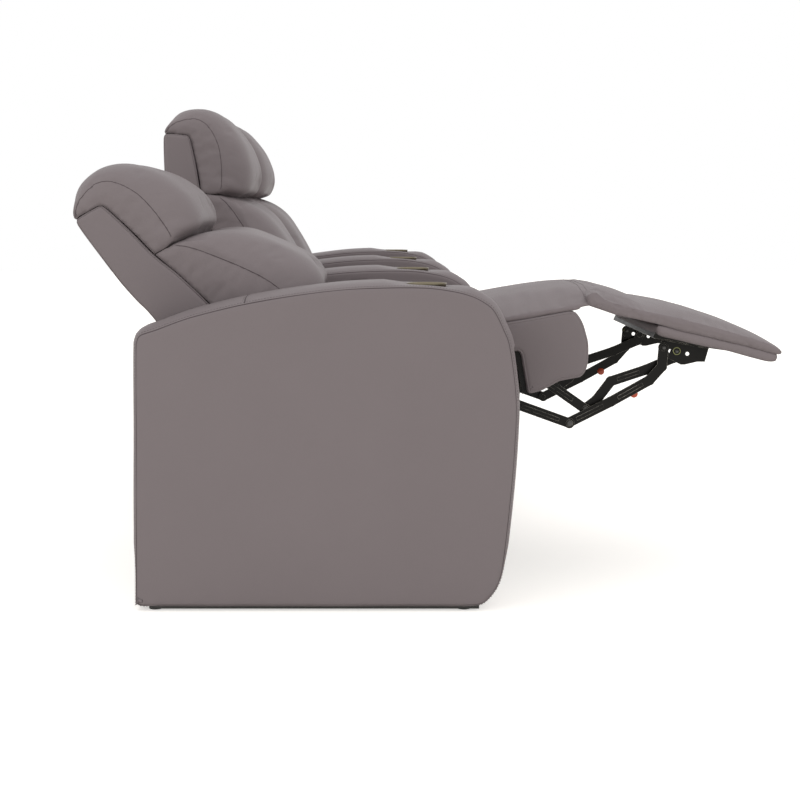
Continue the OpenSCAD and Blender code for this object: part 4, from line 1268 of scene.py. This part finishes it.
def flatBar(name, points, radius, y0, y1, mat, segments=14):
    # A flat steel link along the points, with round ends
    p = [Vector(q) for q in points]
    left, right = [], []
    for k, q in enumerate(p):
        before = (q - p[k - 1]).normalized() if k else (p[1] - q).normalized()
        after = (p[k + 1] - q).normalized() if k < len(p) - 1 else before
        along = (before + after).normalized()
        side = Vector((-along.y, along.x)) * radius / max(0.5, along.dot(before))
        if 0 < k < len(p) - 1:
            left.append(q + side)
            right.append(q - side)
        else:
            sign = 1 if k else -1
            base = math.atan2(side.y, side.x)
            arc = [q + Vector((math.cos(base - sign * math.pi * j / segments),
                               math.sin(base - sign * math.pi * j / segments))) * radius
                   for j in range(segments + 1)]
            if k:
                left.extend(arc)
            else:
                right = arc[::-1][:1] + right
                left = arc[::-1]
                startArc = arc
    return plateShape(name, startArc[::-1] + left[segments + 1:] + right[1:][::-1], y0, y1, mat)


def plateShape(name, outline, y0, y1, mat):
    # A closed side outline cut from flat plate, with bevelled edges
    bm = bmesh.new()
    verts = [bm.verts.new((q[0], y0, q[1])) for q in outline]
    face = bm.faces.new(verts)
    push = bmesh.ops.extrude_face_region(bm, geom=[face])
    bmesh.ops.translate(bm, verts=[v for v in push["geom"] if isinstance(v, bmesh.types.BMVert)],
                        vec=(0, y1 - y0, 0))
    bmesh.ops.recalc_face_normals(bm, faces=bm.faces)
    rim = [e for e in bm.edges if len(e.link_faces) == 2 and e.calc_face_angle(0) > 1.2]
    bmesh.ops.bevel(bm, geom=rim, offset=0.0006, segments=2, profile=0.5, affect="EDGES")
    mesh = bpy.data.meshes.new(name)
    bm.to_mesh(mesh)
    bm.free()
    return toObject(name, mesh, mat, smooth=False)


makeBackShell()
print("back shells ready")


# Headrest

headrest = {
    "depth": 0.224,
    "height": 0.226,
    "shape": [
        (0.012, 0.69), (-0.004, 0.722), (0.022, 0.8), (0.112, 0.915), (0.22, 0.98), (0.36, 1.0), (0.475, 0.982),
        (0.61, 0.907), (0.739, 0.779), (0.88, 0.588), (0.972, 0.367), (0.993, 0.217), (0.98, 0.08), (0.93, 0.0),
        (0.8, -0.015), (0.62, -0.006), (0.449, 0.0155),
    ],
    "core": (0.38, 0.5),
    "draw": (0.5, 0.28),
    "halfWidth": 0.2665,
    "bulge": 0.006,
    "bulgeReach": 0.03,
    "ease": (16, 22),
    "power": 9,
    "pressure": 3.0,
    "cap": 0.006,
    "arc": [(0.0, 0.7), (0.035, 0.76), (0.1, 0.83), (0.216, 0.872), (0.339, 0.885), (0.45, 0.837), (0.536, 0.749),
            (0.62, 0.583), (0.653, 0.417), (0.665, 0.226), (0.655, 0.05)],
    "folds": [((0.03, 0.74), (0.09, 0.69)), ((0.05, 0.77), (0.12, 0.74)), ((0.08, 0.81), (0.16, 0.79)),
              ((0.3, 0.885), (0.31, 0.94)), ((0.52, 0.775), (0.57, 0.82))],
    "seam": {"depth": 0.002, "width": 0.0035, "gathers": 0.003, "reach": 0.024, "pace": 0.024, "seed": 1},
    "soft": {"size": 0.1, "amount": 0.002, "seed": 1.3},
}


def makeBackCushion(name, node, cushion, x0, z0, inner):
    d, h = cushion["depth"], cushion["height"]
    spec = dict(cushion, front=placeShares(cushion["shape"], x0, z0, d, h), inner=inner,
                core=(x0 + cushion["core"][0] * d, z0 + cushion["core"][1] * h))
    mesh, held, _ = cushionForm(name, spec)
    piece = toObject(f"{name}Leather", mesh, looks["cushion"])
    inflate(piece, held, cushion["pressure"], cushion["cap"])
    seams = sideArcs(mesh, cushion, x0, z0)
    for seam in seams:
        pinch(mesh, seam, **cushion["seam"])
    for fold in cushion.get("folds", ()):
        for line in sideArcs(mesh, dict(cushion, arc=fold), x0, z0):
            pinch(mesh, line, depth=0.0022, width=0.004)
    soften(mesh, **cushion["soft"])
    putOnSeats(seamLines(f"{name}Seams", settle(mesh, seams, 0.0), 0.0008), "back")
    putOnSeats(piece, "back", [node])


def makeHeadrest():
    low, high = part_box("headrest_2")
    makeBackCushion("headrest", "headrest", headrest, low[0], high[2] - headrest["height"], shellFace(17, 11))


makeHeadrest()
print("headrests ready")


# Lumbar cushion

lumbar = {
    "depth": 0.282,
    "height": 0.35,
    "shape": [
        (0.08, 1.0), (0.28, 0.985), (0.42, 0.957), (0.52, 0.926), (0.61, 0.875), (0.71, 0.79), (0.805, 0.678),
        (0.9, 0.55), (0.97, 0.435), (1.0, 0.33), (0.978, 0.26), (0.882, 0.233), (0.634, 0.219),
        (0.449, 0.188), (0.357, 0.11), (0.332, 0.025), (0.279, 0.01),
    ],
    "core": (0.2, 0.6),
    "draw": (0.38, 0.2),
    "halfWidth": 0.2665,
    "bulge": 0.006,
    "bulgeReach": 0.03,
    "ease": (30, 16),
    "power": 8,
    "pressure": 3.0,
    "cap": 0.006,
    "arc": [(0.247, 0.992), (0.3, 0.94), (0.386, 0.853), (0.544, 0.662), (0.64, 0.527), (0.698, 0.409),
            (0.72, 0.33), (0.7, 0.26)],
    "seam": {"depth": 0.002, "width": 0.0035, "gathers": 0.002, "reach": 0.03, "pace": 0.035, "seed": 2},
    "soft": {"size": 0.12, "amount": 0.002, "seed": 2.6},
}


def makeLumbar():
    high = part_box("lumbar_cushion_2")[1]
    makeBackCushion("lumbar", "lumbar_cushion", lumbar, high[0] - lumbar["depth"], high[2] - lumbar["height"],
                    shellFace(20, 17))


makeLumbar()
print("lumbar cushions ready")


# Footrest: the pad runs up over the fold into the seat's nose, shaped for each seat's footrest angle

footPad = {
    # Places are given from the fold, footrest closed
    "tuck": [(-0.045, -0.008), (-0.03, 0.0), (-0.014, 0.001)],
    "crest": -0.001,
    "front": [(0.0015, -0.026), (0.0035, -0.055), (0.0022, -0.08), (0.0022, -0.1), (0.008, -0.13), (0.0155, -0.175),
              (0.0195, -0.23), (0.0198, -0.29), (0.0165, -0.34), (0.0105, -0.372), (0.003, -0.386), (-0.004, -0.39),
              (-0.009, -0.384)],
    "back": [(-0.0105, -0.372), (-0.0144, -0.315), (-0.0218, -0.249), (-0.03, -0.175), (-0.0344, -0.118),
             (-0.042, -0.06), (-0.0455, -0.034)],
    "halfWidth": 0.2685,
    "bulge": 0.003,
    "bulgeReach": 0.012,
    "ease": (3, 3),
    "draw": (0, 0),
    "slim": (0.6, 3.4),
    "foldCorner": (-0.046, -0.026),
    "core": (-0.03, -0.2),
    "step": 0.006,
    "creases": (0.014, 0.027, 0.039, 0.053, 0.07),
    "crease": {"long": 0.036, "fall": 0.014, "wide": 0.045},
    "soft": {"size": 0.07, "amount": 0.0012, "seed": 5.5},
    "pressure": 1.5,
    "cap": 0.003,
    "fill": 0.7,
}
footStrip = {
    "front": [(-0.036, -0.128), (-0.044, -0.1255), (-0.054, -0.1275), (-0.0608, -0.134), (-0.0608, -0.15),
              (-0.0545, -0.195), (-0.047, -0.24), (-0.0392, -0.285), (-0.0335, -0.335), (-0.029, -0.367),
              (-0.0215, -0.382), (-0.0135, -0.386), (-0.0085, -0.38)],
    "back": [(-0.0094, -0.372), (-0.0134, -0.315), (-0.0208, -0.249), (-0.029, -0.175), (-0.0345, -0.135)],
    "halfWidth": 0.2665,
    "bulge": 0.004,
    "bulgeReach": 0.01,
    "ease": (2, 2),
    "draw": (0.35, 0.012),
    "power": 8,
    "core": (-0.035, -0.25),
    "step": 0.006,
    "soft": {"size": 0.07, "amount": 0.001, "seed": 6.5},
}
footBoard = {
    "plate": [(-0.036, -0.13), (-0.0635, -0.1275), (-0.0645, -0.134), (-0.0585, -0.155), (-0.0465, -0.24),
              (-0.0375, -0.285), (-0.034, -0.285), (-0.03, -0.2)],
    "bracket": [(-0.0595, -0.1525), (-0.0445, -0.2535), (-0.076, -0.2555), (-0.0815, -0.24), (-0.0961, -0.2171),
                (-0.0989, -0.2093), (-0.0935, -0.165), (-0.0905, -0.1565)],
    "flange": [(-0.0595, -0.1525), (-0.0445, -0.2535), (-0.0475, -0.2545), (-0.0625, -0.1535)],
    "holes": [(-0.079, -0.1785), (-0.0725, -0.2148)],
    "holeSize": 0.0042,
    "levels": (0.2175, 0.2205),  # the bracket's two faces, out from the seat's middle
    "flangeDepth": 0.018,
    "halfWidth": 0.2535,
}


def turned(point, pivot, angle):
    x, z = point[0] - pivot[0], point[1] - pivot[1]
    c, s = math.cos(angle), math.sin(angle)
    return (pivot[0] + x * c - z * s, pivot[1] + x * s + z * c)


def footNear(points, angle=0.0):
    # Points given from the fold, on the footrest's side of it
    pivot = jointPlace("footrest_swing_2")
    return [turned((pivot.x + x, pivot.z + z), (pivot.x, pivot.z), angle) for x, z in points]


def makeFootPad():
    pivot = jointPlace("footrest_swing_2")
    travel = joints["seat_slide_2"]["range_m"][1]
    for i in seats:
        angle = ratios["footrest_swing_2"] * travel if i == 1 else 0.0
        rise = math.radians(45) + angle / 2
        front = [(pivot.x + x, pivot.z + z) for x, z in footPad["tuck"]]
        front.append((pivot.x + footPad["crest"] * math.cos(rise), pivot.z + footPad["crest"] * math.sin(rise)))
        front += footNear(footPad["front"], angle)
        cornerX, cornerZ = footPad["foldCorner"]
        inner = footNear(footPad["back"], angle) + [(pivot.x + cornerX, pivot.z + cornerZ)]
        spec = dict(footPad, front=front, inner=inner, core=footNear([footPad["core"]], angle)[0])
        mesh, held, _ = cushionForm(f"footrestPadLeather_{i}", spec)
        slimEnds(mesh, [front[-1], *inner, front[0]])
        piece = toObject(f"footrestPadLeather_{i}", mesh, looks["cushion"])
        inflate(piece, held, footPad["pressure"], footPad["cap"])
        soften(mesh, **footPad["soft"])
        # Short creases fan out at each end where the pad bends over the fold
        half, size = footPad["halfWidth"], footPad["crease"]
        for k, d in enumerate(footPad["creases"]):
            (xa, za), (xb, zb) = footNear([(0.0, -d), (-size["long"], -d - size["fall"])], angle)
            for side in (-1, 1):
                crease = [(xa + (xb - xa) * t, side * (half - size["wide"] * (1 - min(1, 1.6 * t))),
                           za + (zb - za) * t) for t in np.linspace(0, 1, 16)]
                for laid in settle(mesh, [crease], 0.0):
                    pinch(mesh, [tuple(q) for q in laid], depth=0.0022 - 0.0003 * (k % 2), width=0.0038)
        place = places["seat", i]
        mesh.transform(place)
        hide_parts(f"footrest_pad_{i}")
        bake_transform(piece)


def slimEnds(mesh, back):
    # The pad's face comes down towards its back near the two ends
    co = coordinates(mesh)
    line = evenLine(back, 0.004)
    flat = co[:, (0, 2)]
    far = np.linalg.norm(flat[:, None, :] - line[None], axis=2)
    pick = far.argmin(axis=1)
    away = far[np.arange(len(co)), pick]
    share, power = footPad["slim"]
    pull = share * np.clip(np.abs(co[:, 1]) / footPad["halfWidth"], 0, 1) ** power
    pull *= np.clip(away - 0.008, 0, None) / np.maximum(away, 1e-6)
    co[:, (0, 2)] = flat + (line[pick] - flat) * pull[:, None]
    setCoordinates(mesh, co)


def makeFootStrip():
    spec = dict(footStrip, front=footNear(footStrip["front"]), inner=footNear(footStrip["back"]),
                core=footNear([footStrip["core"]])[0])
    mesh, _, _ = cushionForm("footrestStrip", spec)
    soften(mesh, **footStrip["soft"])
    piece = toObject("footrestStripLeather", mesh, looks["cushion"])
    putOnSeats(piece, "foot", ())


def makeFootBoard():
    # The board inside the padding, and the drilled steel bracket at each side that the links hold
    w = footBoard["halfWidth"]
    pieces = [plateShape("board", footNear(footBoard["plate"]), -w, w, looks["linkSteel"])]
    near, out = footBoard["levels"]
    for side in (-1, 1):
        y0, y1 = sorted((side * near, side * out))
        bracket = plateShape("bracket", footNear(footBoard["bracket"]), y0, y1, looks["linkSteel"])
        for x, z in footNear(footBoard["holes"]):
            bpy.ops.mesh.primitive_cylinder_add(vertices=24, radius=footBoard["holeSize"], depth=0.02,
                                                location=(x, side * near, z), rotation=(math.pi / 2, 0, 0))
            cutOut(bracket, bpy.context.object)
        y0, y1 = sorted((side * (out - footBoard["flangeDepth"]), side * out))
        pieces += [bracket, plateShape("flange", footNear(footBoard["flange"]), y0, y1, looks["linkSteel"])]
    board = join("footrestBoard", pieces)
    board.data.polygons.foreach_set("use_smooth", [False] * len(board.data.polygons))
    putOnSeats(board, "foot", ["footrest_board"])


makeFootPad()
makeFootStrip()
makeFootBoard()
print("footrests ready")


# Rivets, washers and bushes of the footrest linkage

linkage = {
    "levels": {"plate": 0.24, "a": 0.233, "b": 0.219, "c": 0.226, "d": 0.212, "bracket": 0.219},
    "rivet": [(0.0001, 0.0023), (0.003, 0.0022), (0.0052, 0.0016), (0.0063, 0.0006), (0.0064, -0.0006),
              (0.0001, -0.0006)],
    "ring": [(0.0066, -0.0004), (0.0066, 0.002), (0.0069, 0.0024), (0.008, 0.0024), (0.0083, 0.002),
             (0.0083, -0.0004), (0.0066, -0.0004)],
    "spacer": [(0.0001, 0.002), (0.0079, 0.002), (0.0083, 0.0014), (0.0083, -0.0018), (0.0001, -0.0018)],
    "pin": [(0.0001, 0.0075), (0.0042, 0.007), (0.0042, -0.007), (0.0001, -0.0075)],
    "ears": {"c": (-0.0764, -0.1615), "d": (-0.0744, -0.1914)},  # from the fold, footrest closed
    "headOut": (0.0018, 0.0005),  # rivet heads of links a and b, out from the middle of the plate
    "pinGap": 0.004,
    "spacerPlace": (0.57, -0.15),  # along the long link and to its side, as shares of its length
    "spacerIn": 0.0042,
}


def bothSides(middle, spots):
    # spots: (x, z, distance out from the seat's middle)
    return [((x, middle + side * out, z), (0, side, 0)) for x, z, out in spots for side in (-1, 1)]


def makeRivets():
    parts = {
        "rivet": lathe("rivet", linkage["rivet"], looks["pinSteel"], 24),
        "ring": lathe("ring", linkage["ring"], looks["limeRing"], 24),
        "spacer": lathe("spacer", linkage["spacer"], looks["redBush"], 24),
        "pin": lathe("pin", linkage["pin"], looks["pinSteel"], 16),
    }
    y = linkage["levels"]
    fold = jointPlace("footrest_swing_2")
    for i in seats:
        pivots = {k: joints[f"link_{k}_swing_{i}"]["pos_m"] for k in "abcd"}
        a, b, c, d = ((p[0], p[2]) for p in pivots.values())
        earC, earD = (places["foot", i] @ Vector((fold.x + x, 0, fold.z + z)) for x, z in linkage["ears"].values())
        # The red spacer sits behind the long link, just below its middle
        start = Vector(pivots["c"])
        along = Vector((earC.x - start.x, 0, earC.z - start.z))
        share, aside = linkage["spacerPlace"]
        spot = start + along * share + Vector((-along.z, 0, along.x)) * aside
        bracket, pinGap = y["bracket"], linkage["pinGap"]
        sets = [
            (f"rivets_seat_{i}", "rivet", f"seat_{i}", [(*a, y["plate"]), (*b, y["plate"])]),
            (f"rivets_link_a_{i}_body", "rivet", f"link_a_{i}_body", [(*c, y["a"] + linkage["headOut"][0])]),
            (f"rivets_link_b_{i}_body", "rivet", f"link_b_{i}_body", [(*d, y["b"] + linkage["headOut"][1])]),
            (f"bracketRings_{i}", "ring", f"foot_{i}", [(earC.x, earC.z, bracket), (earD.x, earD.z, bracket)]),
            (f"bracketPins_{i}", "pin", f"foot_{i}",
             [(earC.x, earC.z, bracket + pinGap), (earD.x, earD.z, bracket - pinGap)]),
            (f"linkSpacers_{i}", "spacer", f"link_c_{i}_body", [(spot.x, spot.z, y["c"] - linkage["spacerIn"])]),
        ]
        for name, kind, body, spots in sets:
            part = parts[kind]
            made = scatter(name, part, bothSides(pivots["a"][1], spots), part.data.materials[0])
            handOver(made, body)
    for part in parts.values():
        bpy.data.objects.remove(part)


makeRivets()
print("rivets ready")


# Carried-over steel, plastic and boards take better materials

plainNodes = {
    "linkSteel": [f"{name}_{i}" for name in ("link_a", "link_b", "link_c", "link_d", "side_plates", "lift_link")
                  for i in seats],
    "frameSteel": [f"{name}_{i}" for name in ("base_frame", "carriage") for i in seats],
    "blackPlastic": [f"{name}_{i}" for name in ("actuator", "switch_rocker") for i in seats]
    + ["switch_bezels", "power_inlets"],
    "footPlastic": ["arm_feet"],
    "zinc": ["frame_bolts"],
}


def dressNodes():
    for look, names in plainNodes.items():
        for name in names:
            for slot in frame["nodes"][name].material_slots:
                slot.material = looks[look]


dressNodes()
